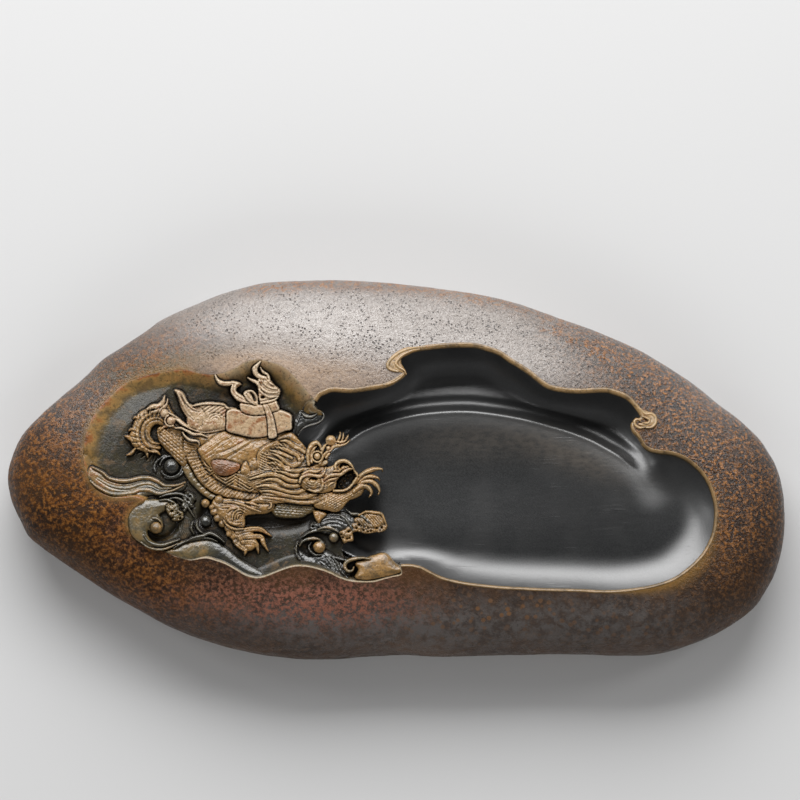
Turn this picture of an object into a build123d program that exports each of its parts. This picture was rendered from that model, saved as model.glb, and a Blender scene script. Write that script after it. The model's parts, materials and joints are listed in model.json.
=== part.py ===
from build123d import *
import math
import os

# An ink stone carved from one river cobble of dark slate.
# It lies on its sawn base with the carved face up: +X along its length, +Y towards the ink pool, +Z up.
# The origin is the middle of the base, and every length is in millimetres.

LENGTH = 280.0
WIDTH = 141.0
THICKNESS = 40.0
SKIN = 2.2

# Depths below the top of the cobble.
FIELD_DEPTH = 6.0
EAVE_DEPTH = 6.6
HALL_DEPTH = 13.5
POOL_DEPTH = 19.0

# Heights of the carving above its sunken ground.
BELLY_HEIGHT = 1.8
BANK_HEIGHT = 1.9
SWELL_HEIGHT = 2.1
SCROLL_HEIGHT = 3.0
RING_HEIGHT = 1.5
FOAM_HEIGHT = 2.6
PEARL_HEIGHT = 3.1
SPLASH_HEIGHT = 3.4
SKIRT_HEIGHT = 1.6
RIM_HEIGHT = 2.5
SHELL_HEIGHT = 4.0
TAIL_HEIGHT = 2.9
COIL_HEIGHT = 3.2
PLUME_HEIGHT = 3.6
BUNDLE_HEIGHT = 4.2
CLOTH_HEIGHT = 3.9
CUSHION_HEIGHT = 4.3
CASKET_HEIGHT = 4.7
LID_HEIGHT = 5.0
STRAP_HEIGHT = 5.3
RIBBON_HEIGHT = 4.9
MANE_HEIGHT = 4.4
HEAD_HEIGHT = 5.0
HORN_HEIGHT = 5.2
FORELEG_HEIGHT = 4.6
HIND_THIGH_HEIGHT = 3.7
HIND_FOOT_HEIGHT = 3.2
FORE_CLAW_HEIGHT = 4.9
HIND_CLAW_HEIGHT = 2.8

# The rind is ground off this far up round the sawn base, so the stone rests on sound slate alone.
BASE_EDGE = 1.2
OVERRUN = 5.0

# What a cut leaves of a form is kept if it is larger than a cube of this side.
SCRAP_SIDE = 1.3

# The photograph looks at the stone from this many degrees above its lower edge, so a high level shows
# further up in it than the widest level does.
VIEW_DEGREES = 75.0
WIDEST_SHARE = 0.42

# Outlines are pixels of the photograph. The stone spans these pixels there.
SPAN_X_PX = 779.4
SPAN_Y_PX = 380.0
CENTRE_X_PX = 396.4
CENTRE_Y_PX = 469.7

COBBLE_PX = [
    (7, 467), (13, 438), (41, 410), (82, 375), (143, 331), (205, 300), (266, 282), (333, 280), (400, 285),
    (477, 293), (553, 313), (630, 344), (707, 396), (756, 433), (780, 475), (786, 520), (778, 576),
    (739, 621), (667, 651), (600, 656), (500, 655), (400, 658), (320, 660), (244, 651), (167, 625),
    (102, 590), (41, 550), (17, 512),
]

# The height of a section as a share of the cobble's, then its outline as a share of the widest one.
COBBLE_SHARES = [
    (0.0, 0.93), (0.14, 0.978), (0.42, 1.0), (0.58, 0.985), (0.7, 0.95), (0.79, 0.895), (0.87, 0.8),
    (0.925, 0.7), (0.96, 0.6), (0.985, 0.48), (1.0, 0.34),
]

# The lip of the well, from one curl to the next, and its hidden side under the figure.
LIP_LOWER_PX = [
    (366, 559), (390, 557), (412, 566), (440, 577), (465, 583), (500, 587), (560, 589.5), (620, 590),
    (656, 585), (684, 571), (705, 550), (715, 515), (710, 487), (696, 466), (678, 454), (656, 451),
    (641, 440), (634, 424),
]
LIP_RIGHT_PX = [
    (634, 424), (641, 415), (632, 403), (612, 392), (585, 391), (555, 389), (535, 378), (500, 354),
    (475, 346), (440, 346.5), (410, 351), (404, 372),
]
LIP_LEFT_PX = [(404, 372), (388, 385), (350, 391), (326, 392), (315, 402), (324, 415)]
LIP_POINT_PX = [(324, 415), (309, 426), (298, 437)]
LIP_HIDDEN_PX = [
    (298, 437), (302, 452), (318, 461), (336, 470), (350, 483), (349, 497), (338, 508), (326, 516),
    (336, 526), (346, 536), (342, 548), (352, 557), (366, 559),
]

# The bowl under the lip. It runs back under the upper lip and slopes out to the lower one.
BOWL_PX = [
    (308, 452), (306, 425), (312, 400), (340, 382), (380, 372), (410, 346), (445, 338), (480, 338),
    (512, 352), (552, 380), (600, 387), (636, 405), (662, 440), (698, 456), (714, 487), (717, 515),
    (706, 550), (684, 571), (650, 586), (600, 590), (540, 589), (480, 585), (436, 576), (400, 563),
    (362, 545), (344, 520), (340, 490), (322, 468),
]
BOWL_CENTRE_PX = (520, 470)
BOWL_SHARES = [(0.0, 1.0), (0.35, 0.985), (0.65, 0.945), (0.86, 0.885), (1.0, 0.8)]

# The rubbed face of the ink hall, up to its crest along the pool.
HALL_PX = [
    (356, 470), (372, 440), (400, 424), (430, 416), (470, 414), (510, 418), (550, 428), (590, 443),
    (622, 462), (646, 482), (662, 500), (666, 525), (652, 545), (620, 556), (560, 560), (500, 558),
    (450, 552), (410, 542), (376, 525), (360, 500),
]
# The pool's bed runs on under the hall, which stands in it.
POOL_PX = [
    (322, 446), (318, 420), (332, 400), (380, 386), (414, 362), (445, 354), (480, 355), (512, 368),
    (552, 394), (600, 398), (632, 414), (656, 446), (664, 480), (640, 505), (560, 512), (460, 508),
    (390, 495), (350, 470),
]
POOL_CENTRE_PX = (500, 440)
POOL_SHARES = [(0.0, 1.0), (0.45, 0.97), (0.8, 0.9), (1.0, 0.8)]
HALL_SHARES = [(0.0, 1.0), (0.3, 1.012), (1.0, 1.02)]

# The sunken ground round the figure.
FIELD_PX = [
    (88, 462), (88, 438), (98, 418), (118, 402), (145, 388), (180, 378), (215, 368), (250, 359),
    (280, 364), (302, 382), (318, 398), (326, 414), (314, 432), (316, 448), (334, 460), (354, 470),
    (364, 488), (356, 504), (344, 516), (356, 532), (350, 546), (356, 553), (378, 553), (398, 567),
    (385, 578), (360, 581), (335, 576), (310, 568), (288, 568), (262, 577), (240, 571), (215, 559),
    (190, 558), (162, 552), (142, 544), (132, 526), (140, 506), (128, 499), (106, 493), (94, 480),
]

# A top's height and outline, as shares. Its foot is wider than the form, which trims it.
DOME_SHARES = [(0.0, 1.06), (0.4, 1.03), (0.68, 0.95), (0.87, 0.81), (0.97, 0.61), (1.0, 0.42)]
CUSHION_SHARES = [(0.0, 1.05), (0.74, 1.02), (0.92, 0.94), (1.0, 0.82)]
BEVEL_SHARES = [(0.0, 1.05), (0.86, 1.02), (1.0, 0.93)]

BANK_UPPER_PX = [
    (94, 462), (101, 472), (113, 479), (130, 481), (147, 478), (165, 484), (184, 481), (178, 487),
    (163, 494), (150, 489), (132, 493), (112, 492), (98, 482), (91, 470),
]
SWELL_LEFT_PX = [
    (148, 538), (164, 545), (181, 541), (200, 537), (222, 541), (232, 551), (227, 561), (206, 556),
    (186, 559), (164, 555),
]
SCROLL_LEFT_PX = (157, 527)
SCROLL_MIDDLE_PX = (319, 546)
SCROLL_RIGHT_PX = (350, 568)
CREST_RIGHT_PX = [
    (358, 560), (367, 556), (380, 552), (391, 557), (402, 567), (396, 574), (380, 578), (364, 579),
    (356, 574), (361, 567),
]
SPLASH_PX = [
    (318, 524), (330, 515), (345, 512), (362, 512), (374, 511), (383, 516), (386, 524), (376, 528),
    (362, 527), (351, 531), (341, 534), (328, 530),
]
TUFT_PX = [(313, 511), (327, 513), (319, 521)]
FOAM_LEFT_PX = [(171, 506), (179, 506), (173, 514), (181, 515), (193, 505), (190, 496), (185, 488)]
FOAM_RIGHT_PX = [(344, 540), (352, 537), (359, 533), (367, 532), (375, 531), (383, 528)]
FOAM_RADIUS_PX = 4.0

PEARLS_PX = [(172, 465, 7.5), (208, 521, 5.5), (334, 537, 5.5)]
PEARL_RING_PX = (168, 466)

BELLY_PX = [(262, 496), (290, 497), (312, 503), (307, 514), (290, 518), (270, 516), (258, 508)]
SKIRT_PX = [
    (180, 462), (183, 473), (191, 486), (202, 498), (216, 506), (236, 511), (258, 511), (284, 507),
    (284, 494), (262, 497), (236, 498), (214, 490), (200, 478), (191, 464), (188, 456),
]
RIM_PX = [
    (185, 440), (188, 456), (195, 473), (208, 489), (226, 498), (248, 502), (276, 499), (304, 492),
    (303, 480), (284, 440), (240, 425), (200, 428),
]
SHELL_PX = [
    (197, 444), (200, 458), (209, 474), (224, 487), (244, 494), (268, 494), (292, 486), (300, 470),
    (298, 450), (284, 436), (250, 428), (214, 430),
]
TAIL_BASE_PX = [
    (157, 430), (170, 426), (182, 431), (188, 445), (188, 459), (179, 462), (168, 452), (158, 441),
]
TAIL_COIL_PX = [
    (180, 424), (168, 414), (154, 410), (142, 418), (137, 432), (142, 444), (154, 448), (161, 441),
]
TAIL_COIL_WIDTHS_PX = (5, 6, 8, 8.5, 8, 7, 5, 3)
TAIL_TIP_PX = [(153, 408), (162, 405), (165, 396)]
TAIL_TIP_WIDTHS_PX = (4, 3, 1)
PLUME_PX = [(193, 412), (184, 402), (177, 391)]
PLUME_WIDTHS_PX = (7, 4, 1)
BUNDLE_PX = [
    (189, 408), (200, 403), (214, 402), (226, 406), (231, 414), (229, 426), (214, 433), (199, 435),
    (189, 428), (187, 417),
]
CLOTH_PX = [(200, 447), (222, 430), (258, 437), (284, 433), (282, 452), (244, 474), (222, 462), (205, 457)]
CUSHION_PX = [(213, 462), (226, 457), (240, 460), (244, 467), (236, 474), (222, 475), (213, 470)]
CASKET_PX = [(227, 413), (237, 409), (286, 411), (291, 417), (291, 430), (262, 437), (240, 434), (227, 428)]
LID_PX = [(239, 403), (258, 407), (277, 400), (281, 409), (268, 413), (254, 415), (241, 411)]
STRAP_PX = [(265, 406), (270, 418), (272, 437)]
STRAP_WIDTHS_PX = (4, 4.5, 5.5)
KNOT_PX = [(235, 388), (248, 384), (262, 382), (276, 388), (279, 397), (264, 402), (246, 402), (234, 397)]
RIBBON_LEFT_PX = [(237, 388), (228, 383), (220, 381), (214, 375)]
RIBBON_RIGHT_PX = [(268, 385), (259, 376), (256, 369), (261, 361)]
RIBBON_WIDTHS_PX = (6, 4, 3, 1)
MANE_PX = [
    (262, 452), (276, 442), (292, 444), (308, 454), (324, 458), (322, 470), (308, 474), (296, 484),
    (276, 488), (256, 484), (246, 474), (256, 466),
]
HEAD_PX = [
    (300, 470), (314, 462), (330, 464), (342, 459), (352, 463), (356, 472), (350, 482), (352, 490),
    (336, 497), (316, 496), (302, 488),
]
HORN_PX = [(308, 458), (318, 446), (331, 441), (348, 436)]
HORN_WIDTHS_PX = (8, 9, 6, 2)
HORN_BALL_PX = (331, 440, 5.5)
FORELEG_PX = [
    (312, 497), (332, 491), (350, 484), (362, 475), (372, 476), (372, 486), (360, 494), (349, 504),
    (336, 512), (318, 509),
]
FORE_CLAWS_PX = [
    [(364, 476), (372, 470), (383, 469)], [(368, 480), (377, 482), (379, 492)],
    [(362, 486), (370, 489), (369, 497)],
]
HIND_FOOT_PX = [(218, 511), (232, 508), (244, 517), (249, 533), (241, 545), (229, 534), (217, 522)]
HIND_THIGH_PX = [
    (213, 505), (230, 498), (256, 498), (272, 502), (271, 512), (250, 517), (230, 518), (217, 515),
]
HIND_CLAWS_PX = [
    [(244, 531), (260, 529), (272, 535)], [(246, 535), (260, 538), (268, 547)],
    [(243, 540), (256, 545), (258, 553)], [(240, 543), (246, 548), (245, 555)],
]
CLAW_WIDTHS_PX = (6, 4.5, 1.5)

# Each curl's place on the lip, the direction that it opens in, and its size.
CURLS_PX = {
    "lip_curl_left": (309, 416, 200, 8.0),
    "lip_curl_middle": (391, 366, 150, 11.0),
    "lip_curl_right": (650, 424, 30, 8.0),
}
# How far each curl's foot, then its top, lies below the top of the cobble.
CURL_DEPTHS = {
    "lip_curl_left": (FIELD_DEPTH, 2.2),
    "lip_curl_middle": (3.4, 0.1),
    "lip_curl_right": (5.2, 2.2),
}
CURL_SWEEP_DEGREES = 250
CURL_WIDTH_PX = 4.0

# Where each wave's curl starts, then its radius.
SCROLL_LEFT_TURN = (240, 14.0)
SCROLL_MIDDLE_TURN = (70, 20.0)
SCROLL_RIGHT_TURN = (60, 11.0)
SCROLL_KNOBS_PX = [(157, 527, 6.5), (319, 546, 6.5), (350, 568, 3.5)]
SCROLL_SWEEP_DEGREES = 250
SCROLL_WIDTH_PX = 4.0
SCROLL_END_SHARE = 0.45
RING_RADIUS_PX = 16.0
RING_START_DEGREES = 60
RING_SWEEP_DEGREES = 240
RING_WIDTH_PX = 3.0
ARC_POINTS = 12

FIELD_LEVEL = THICKNESS - FIELD_DEPTH
EAVE_LEVEL = THICKNESS - EAVE_DEPTH
HALL_LEVEL = THICKNESS - HALL_DEPTH
POOL_LEVEL = THICKNESS - POOL_DEPTH
RELIEF_LEVEL = FIELD_LEVEL + RIM_HEIGHT
LIP_SHARE = 0.92
LIP_LEVEL = THICKNESS * LIP_SHARE


def at(px, py, level):
    """The place on the stone that shows at this pixel of the photograph, for a point at this level."""
    shown_lift = (level - THICKNESS * WIDEST_SHARE) / math.tan(math.radians(VIEW_DEGREES))
    x = (px - CENTRE_X_PX) / SPAN_X_PX * LENGTH
    y = (CENTRE_Y_PX - py) / SPAN_Y_PX * WIDTH - shown_lift
    return (x, y)


def places(pixels, level):
    return [at(px, py, level) for px, py in pixels]


def smooth_face(points):
    return make_face(Spline(*points, periodic=True))


def stack(centre, points, low, high, shares, cornered=False):
    """A solid of one outline, scaled about its centre by a share at each share of the height."""
    sections = []
    for height_share, outline_share in shares:
        ring = [
            (centre[0] + (x - centre[0]) * outline_share, centre[1] + (y - centre[1]) * outline_share)
            for x, y in points
        ]
        face = make_face(Polyline(*ring, close=True)) if cornered else smooth_face(ring)
        sections.append(Pos(0, 0, low + (high - low) * height_share) * face)
    return loft(sections, ruled=cornered)


def middle(points):
    return (sum(x for x, y in points) / len(points), sum(y for x, y in points) / len(points))


def flat_face(pixels, cornered=False):
    points = places(pixels, RELIEF_LEVEL)
    return make_face(Polyline(*points, close=True)) if cornered else smooth_face(points)


def swelling(pixels, height, shares=DOME_SHARES, cornered=False):
    """A carved form whose top rounds over: its outline, its height and its full shape."""
    points = places(pixels, RELIEF_LEVEL)
    dome = stack(middle(points), points, FIELD_LEVEL, FIELD_LEVEL + height, shares, cornered)
    return flat_face(pixels, cornered), height, dome


def slab(pixels, height):
    """A carved form with a level top."""
    return flat_face(pixels), height, None


def strand_pixels(line, widths):
    """The outline of a strand that follows a line of pixels, with its width at each of them."""
    left = []
    right = []
    for index, (px, py) in enumerate(line):
        before = line[max(index - 1, 0)]
        after = line[min(index + 1, len(line) - 1)]
        run_x = after[0] - before[0]
        run_y = after[1] - before[1]
        run = math.hypot(run_x, run_y)
        side_x = -run_y / run * widths[index] / 2
        side_y = run_x / run * widths[index] / 2
        left.append((px + side_x, py + side_y))
        right.append((px - side_x, py - side_y))
    return left, right


def strand_face(line, widths, level):
    """The outline of a strand with smooth sides and blunt ends."""
    left, right = strand_pixels(line, widths)
    left_side = Spline(*places(left, level))
    right_side = Spline(*places(right, level))
    start = Line(left_side @ 0, right_side @ 0)
    end = Line(left_side @ 1, right_side @ 1)
    return make_face(Wire([left_side, end, right_side, start]))


def strands(lines, widths, height):
    return join([strand_face(line, widths, RELIEF_LEVEL) for line in lines]), height, None


def join(shapes):
    joined = shapes[0]
    for shape in shapes[1:]:
        joined = joined + shape
    return joined


def curl_line(centre, start_degrees, sweep_degrees, radius, end_share):
    """Pixels along a curl that winds inwards from radius to end_share of it."""
    line = []
    for step in range(ARC_POINTS):
        share = step / (ARC_POINTS - 1)
        angle = math.radians(start_degrees + sweep_degrees * share)
        reach = radius * (1 - (1 - end_share) * share)
        line.append((centre[0] + reach * math.cos(angle), centre[1] - reach * math.sin(angle)))
    return line


def round_pixels(px, py, radius_px):
    turns = [math.tau * step / ARC_POINTS for step in range(ARC_POINTS)]
    return [(px + radius_px * math.cos(turn), py + radius_px * math.sin(turn)) for turn in turns]


def balls(places_px, height):
    """Pearls or drops on the ground, each a dome as round as its pixels."""
    domes = [swelling(round_pixels(*place), height) for place in places_px]
    return join([flat for flat, height, dome in domes]), height, join([dome for flat, height, dome in domes])


def cobble(inset, top):
    """The cobble up to height top, drawn in by inset at its widest."""
    shrink_x = (LENGTH / 2 - inset) / (LENGTH / 2)
    shrink_y = (WIDTH / 2 - inset) / (WIDTH / 2)
    outline = [(x * shrink_x, y * shrink_y) for x, y in places(COBBLE_PX, THICKNESS * WIDEST_SHARE)]
    return stack((0, 0), outline, 0, top, COBBLE_SHARES)


def hollow(pixels, centre_px, low, high, shares):
    """A hollow's solid, whose shares run from its rim down to its floor."""
    upward = [(1 - depth_share, outline_share) for depth_share, outline_share in reversed(shares)]
    return stack(at(*centre_px, high), places(pixels, high), low, high, upward)


def lip_face():
    lip = [LIP_LOWER_PX, LIP_RIGHT_PX, LIP_LEFT_PX, LIP_POINT_PX, LIP_HIDDEN_PX]
    return make_face(Wire([Spline(*places(line, LIP_LEVEL)) for line in lip]))


def ground_face():
    return smooth_face(places(FIELD_PX, FIELD_LEVEL))


def cut_down_to(level, face):
    return extrude(Pos(0, 0, level) * face, amount=THICKNESS - level + OVERRUN)


def scroll(centre, start_degrees, radius_px):
    """A wave's curl: a ridge that winds in to its knob."""
    line = curl_line(centre, start_degrees, SCROLL_SWEEP_DEGREES, radius_px, SCROLL_END_SHARE)
    return strands([line], [SCROLL_WIDTH_PX] * ARC_POINTS, RING_HEIGHT)


def ring_round(centre, radius_px):
    line = curl_line(centre, RING_START_DEGREES, RING_SWEEP_DEGREES, radius_px, 1.0)
    return strands([line], [RING_WIDTH_PX] * ARC_POINTS, RING_HEIGHT)


def drops(places_px):
    return [(px, py, FOAM_RADIUS_PX) for px, py in places_px]


def carved_forms():
    """Every carved form by name, the foremost first. A form behind gives way to those before it."""
    return {
        "casket_strap": strands([STRAP_PX], STRAP_WIDTHS_PX, STRAP_HEIGHT),
        "ribbon_knot": swelling(KNOT_PX, RIBBON_HEIGHT, CUSHION_SHARES),
        "ribbon_tails": strands([RIBBON_LEFT_PX, RIBBON_RIGHT_PX], RIBBON_WIDTHS_PX, RIBBON_HEIGHT),
        "casket_lid": swelling(LID_PX, LID_HEIGHT, BEVEL_SHARES, cornered=True),
        "book_casket": swelling(CASKET_PX, CASKET_HEIGHT, BEVEL_SHARES, cornered=True),
        "fore_claws": strands(FORE_CLAWS_PX, CLAW_WIDTHS_PX, FORE_CLAW_HEIGHT),
        "foreleg": swelling(FORELEG_PX, FORELEG_HEIGHT),
        "horn_pearl": balls([HORN_BALL_PX], HORN_HEIGHT),
        "horns": strands([HORN_PX], HORN_WIDTHS_PX, HEAD_HEIGHT),
        "dragon_head": swelling(HEAD_PX, HEAD_HEIGHT),
        "mane": swelling(MANE_PX, MANE_HEIGHT),
        "saddle_cushion": swelling(CUSHION_PX, CUSHION_HEIGHT, CUSHION_SHARES),
        "saddle_cloth": swelling(CLOTH_PX, CLOTH_HEIGHT, BEVEL_SHARES, cornered=True),
        "bundle_plume": strands([PLUME_PX], PLUME_WIDTHS_PX, PLUME_HEIGHT),
        "cloth_bundle": swelling(BUNDLE_PX, BUNDLE_HEIGHT),
        "tail_tip": strands([TAIL_TIP_PX], TAIL_TIP_WIDTHS_PX, COIL_HEIGHT),
        "tail_coil": strands([TAIL_COIL_PX], TAIL_COIL_WIDTHS_PX, COIL_HEIGHT),
        "tail_base": swelling(TAIL_BASE_PX, TAIL_HEIGHT),
        "hind_claws": strands(HIND_CLAWS_PX, CLAW_WIDTHS_PX, HIND_CLAW_HEIGHT),
        "hind_foot": swelling(HIND_FOOT_PX, HIND_FOOT_HEIGHT),
        "hind_thigh": swelling(HIND_THIGH_PX, HIND_THIGH_HEIGHT),
        "turtle_shell": swelling(SHELL_PX, SHELL_HEIGHT),
        "shell_rim": swelling(RIM_PX, RIM_HEIGHT, CUSHION_SHARES),
        "turtle_belly": swelling(BELLY_PX, BELLY_HEIGHT),
        "shell_skirt": slab(SKIRT_PX, SKIRT_HEIGHT),
        "wave_pearls": balls(PEARLS_PX, PEARL_HEIGHT),
        "pearl_ripple": ring_round(PEARL_RING_PX, RING_RADIUS_PX),
        "foam_left": balls(drops(FOAM_LEFT_PX), FOAM_HEIGHT),
        "foam_right": balls(drops(FOAM_RIGHT_PX), FOAM_HEIGHT),
        "spray_tuft": swelling(TUFT_PX, SPLASH_HEIGHT, BEVEL_SHARES, cornered=True),
        "splash_wave": swelling(SPLASH_PX, SPLASH_HEIGHT),
        "scroll_knobs": balls(SCROLL_KNOBS_PX, SCROLL_HEIGHT),
        "wave_crest_right": slab(CREST_RIGHT_PX, SPLASH_HEIGHT),
        "wave_scroll_left": scroll(SCROLL_LEFT_PX, *SCROLL_LEFT_TURN),
        "wave_scroll_middle": scroll(SCROLL_MIDDLE_PX, *SCROLL_MIDDLE_TURN),
        "wave_scroll_right": scroll(SCROLL_RIGHT_PX, *SCROLL_RIGHT_TURN),
        "wave_bank": slab(BANK_UPPER_PX, BANK_HEIGHT),
        "wave_swell": slab(SWELL_LEFT_PX, SWELL_HEIGHT),
    }


def apart(first, second):
    """Whether two outlines' boxes are clear of each other."""
    a = first.bounding_box()
    b = second.bounding_box()
    clear_x = a.max.X < b.min.X or b.max.X < a.min.X
    clear_y = a.max.Y < b.min.Y or b.max.Y < a.min.Y
    return clear_x or clear_y


def seated(forms, room):
    """The carved forms, each kept inside the carved room and clear of the forms in front of it."""
    taken = []
    kept = {}
    for name, (flat, height, dome) in forms.items():
        left = flat & room
        for other in taken:
            if not apart(left, other):
                left = left - other
        taken.append(flat)
        column = Pos(0, 0, FIELD_LEVEL) * left
        if dome is None:
            solid = extrude(column, amount=height)
        else:
            solid = extrude(column, amount=height + OVERRUN) & dome
        pieces = [piece for piece in solid.solids() if piece.volume > SCRAP_SIDE ** 3]
        kept[name] = Compound(children=pieces) if len(pieces) > 1 else pieces[0]
    return kept


def lip_curl(px, py, start_degrees, radius_px, foot_depth, top_depth):
    line = curl_line((px, py), start_degrees, CURL_SWEEP_DEGREES, radius_px, SCROLL_END_SHARE)
    face = strand_face(line, [CURL_WIDTH_PX] * ARC_POINTS, THICKNESS - top_depth)
    return extrude(Pos(0, 0, THICKNESS - foot_depth) * face, amount=foot_depth - top_depth)


os.makedirs("parts", exist_ok=True)
parts = seated(carved_forms(), ground_face() + lip_face())
bowl = hollow(BOWL_PX, BOWL_CENTRE_PX, HALL_LEVEL, EAVE_LEVEL, BOWL_SHARES)
pool = hollow(POOL_PX, POOL_CENTRE_PX, POOL_LEVEL, HALL_LEVEL, POOL_SHARES)
hall = hollow(HALL_PX, POOL_CENTRE_PX, POOL_LEVEL, HALL_LEVEL, HALL_SHARES)
core = cobble(SKIN, THICKNESS - SKIN)
skin = cobble(0.0, THICKNESS) - core
skin = skin - Pos(0, 0, BASE_EDGE - THICKNESS / 2) * Box(LENGTH + OVERRUN, WIDTH + OVERRUN, THICKNESS)
for cut in (cut_down_to(EAVE_LEVEL, lip_face()), cut_down_to(FIELD_LEVEL, ground_face()), bowl, pool, hall):
    core = core - cut
    skin = skin - cut
parts["ink_hall"] = hall
for name, place in CURLS_PX.items():
    curl = lip_curl(*place, *CURL_DEPTHS[name])
    skin = skin - curl
    core = core - curl
    parts[name] = curl
parts["slate_core"] = core
parts["river_skin"] = skin
for name, part in parts.items():
    export_step(part, f"parts/{name}.step")
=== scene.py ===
import json
import math

import bpy
import numpy as np
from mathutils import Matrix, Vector


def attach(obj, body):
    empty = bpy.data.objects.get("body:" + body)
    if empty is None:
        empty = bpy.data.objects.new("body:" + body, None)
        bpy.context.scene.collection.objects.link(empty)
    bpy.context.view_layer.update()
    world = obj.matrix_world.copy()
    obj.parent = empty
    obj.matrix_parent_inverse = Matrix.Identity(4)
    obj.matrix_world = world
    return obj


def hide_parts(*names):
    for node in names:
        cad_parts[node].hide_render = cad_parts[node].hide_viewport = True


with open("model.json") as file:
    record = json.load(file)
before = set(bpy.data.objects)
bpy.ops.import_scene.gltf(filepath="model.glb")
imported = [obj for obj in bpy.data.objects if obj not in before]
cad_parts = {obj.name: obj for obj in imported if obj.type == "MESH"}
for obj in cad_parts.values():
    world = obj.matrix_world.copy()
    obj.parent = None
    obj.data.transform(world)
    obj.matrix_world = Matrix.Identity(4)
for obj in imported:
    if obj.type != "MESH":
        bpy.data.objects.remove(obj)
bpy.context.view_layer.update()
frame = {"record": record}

# Lengths are in millimetres until a mesh is made. Names that end in PX are pixels of the photograph.
MM = 0.001
LENGTH = 280.0
WIDTH = 141.0
THICKNESS = 40.0
WIDEST_LEVEL = 16.8
FIELD_LEVEL = 34.0
HALL_LEVEL = 26.6
HALL_RISE = 2.6
POOL_DROP = 5.6
EAVE_RIM = 34.6
FIGURE_RIM = 33.6
SPAN_X_PX = 779.4
SPAN_Y_PX = 380.0
CENTRE_X_PX = 396.4
CENTRE_Y_PX = 469.7
VIEW_DEGREES = 75.0
TILT = math.tan(math.radians(VIEW_DEGREES))
PX_X = LENGTH / SPAN_X_PX
PX_Y = WIDTH / SPAN_Y_PX


def trace(line):
    """A drawn line as an array of points. It may be written as "u,v u,v"."""
    if isinstance(line, str):
        line = [pair.split(",") for pair in line.split()]
    return np.array(line, float)


SILHOUETTE_PX = trace("""
    7,470 19,437 38,416 61,396 80,380 100,360 120,347 144,331 160,320 180,310 200,301 220,293 241,287
    261,282 282,280 302,279.5 341,279.5 380,282 400,284 440,288 480,293.5 520,303 560,317 600,331.5
    641,349.5 660,360 680,373 700,387 720,404.5 740,420 759,438 769,452 777,467 783,488 786,511 786,530
    784,548 777,575 767,593 756,608.5 741,621 720,634 700,643 680,650 656,655 620,656 600,655.5 560,654.5
    520,655 480,656.5 440,657.5 400,656 380,657 341,659 302,659.5 282,658 261,656 241,652 220,647 200,641
    180,634 160,625 140,613.5 120,602 101,590 81,576 60,562 41,548 28,537 22,526 15,511 9,495
""")
# How much the outline at the widest level lies inside the one that shows, above and below the middle.
SHOWN_ABOVE = 0.0094
SHOWN_BELOW = 0.0214
# How far out along the stone's surface, then the outline's share there, then the height's.
PROFILE = [
    (0.0, 0.0, 1.0), (0.34, 0.34, 0.998), (0.4804, 0.48, 0.985), (0.601, 0.6, 0.96), (0.703, 0.7, 0.925),
    (0.808, 0.8, 0.87), (0.913, 0.895, 0.79), (0.988, 0.95, 0.7), (1.065, 0.985, 0.58),
    (1.157, 1.0, 0.42), (1.317, 0.978, 0.14), (1.41, 0.93, 0.0),
]
WIDEST_AT = 1.157

LIP_PX = trace("""
    316,401 320,395 326,392 333,390 350,391 360,390 372,388 384,386 392,383 400,378 405,373 403,368
    400,362 402,354 408,352 420,349 440,346.5 460,345.5 475,346 490,350 500,354 510,361 520,367 530,374
    540,382 548,387 560,390 575,391.5 590,391 605,390.5 615,393 625,397 632,403 638,411 641,417 636,420
    632,424 633,430 638,435 641,440 644,445 650,449 660,451 670,452 680,455 690,461 700,470 707,480
    712,492 715,505 715,520 712,535 705,550 695,562 682,573 670,580 655,585 640,588 620,590.5 600,591
    580,590 560,589.5 540,589 520,588 500,587 480,585 465,583 450,580 440,577 430,572 420,567 410,565
    401,565
""")
LOWER_LIP_FROM = 43
TONGUE_PX = trace("""
    316,401 315,405 318,409 322,411 324,415 321,421 316,425 309,426 303,428 299,432 298,437
""")
HIDDEN_PX = trace("""
    298,437 302,452 318,461 336,470 350,483 349,497 338,508 326,516 336,526 346,536 342,548 345,557
    352,557
""")
FIELD_EDGE_PX = trace("""
    84,447 89,425 99,408 112,394 125,382.5 140,377 155,373 182,369 200,373 216,374 232,369 245,362 258,359
    272,362 286,368 298,380 308,392 316,401
""")
FIELD_CORNER_PX = trace("352,557 366,558 380,556 392,560 401,565")
FIELD_LOWER_PX = trace("""
    401,565 402,574 393,576.5 385,578.5 375,581.5 365,582 355,581.5 346,580 338,577 330,573 320,569.5
    310,567 300,566 290,567.5 280,571 270,575 262,577.5 255,578 245,575 235,569 225,563.5 215,560 207,558
    199,559 190,560 178,557 168,553 158,549.5 148,546 138,542 131,533 128,522 131,512 137,505 143,500
    134,497 122,498 110,497 99,491 91,482 86,470 84,458
""")
CREST_PX = trace("""
    320,458 336,448 350,440 360,433 370,428 380,424 390,421 400,418 415,415 430,413 450,411.5 470,411.5
    490,413.5 510,416.5 530,420.5 550,426 570,432 590,440 605,448 620,457 635,470 645,482 652,496
""")
# The well's edge back under the upper lip, and down the left under the figure.
UNDER_LIP_PX = trace("""
    662,440 648,420 638,403 612,388 580,384 552,380 532,366 512,352 496,342 480,338 445,338 420,342
    404,350 394,364 378,374 356,380 336,383 320,391 310,402 301,422 295,438 298,455
""")
UNDER_FIGURE_PX = trace("298,455 314,468 330,490 330,520 340,545 370,560 401,566")


def place(u, v, level):
    """Where a point at this level stands, if it shows at this pixel of the photograph."""
    return (u - CENTRE_X_PX) * PX_X, (CENTRE_Y_PX - v) * PX_Y - (level - WIDEST_LEVEL) / TILT


def pixel(x, y, level):
    return x / PX_X + CENTRE_X_PX, CENTRE_Y_PX - (y + (level - WIDEST_LEVEL) / TILT) / PX_Y


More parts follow.
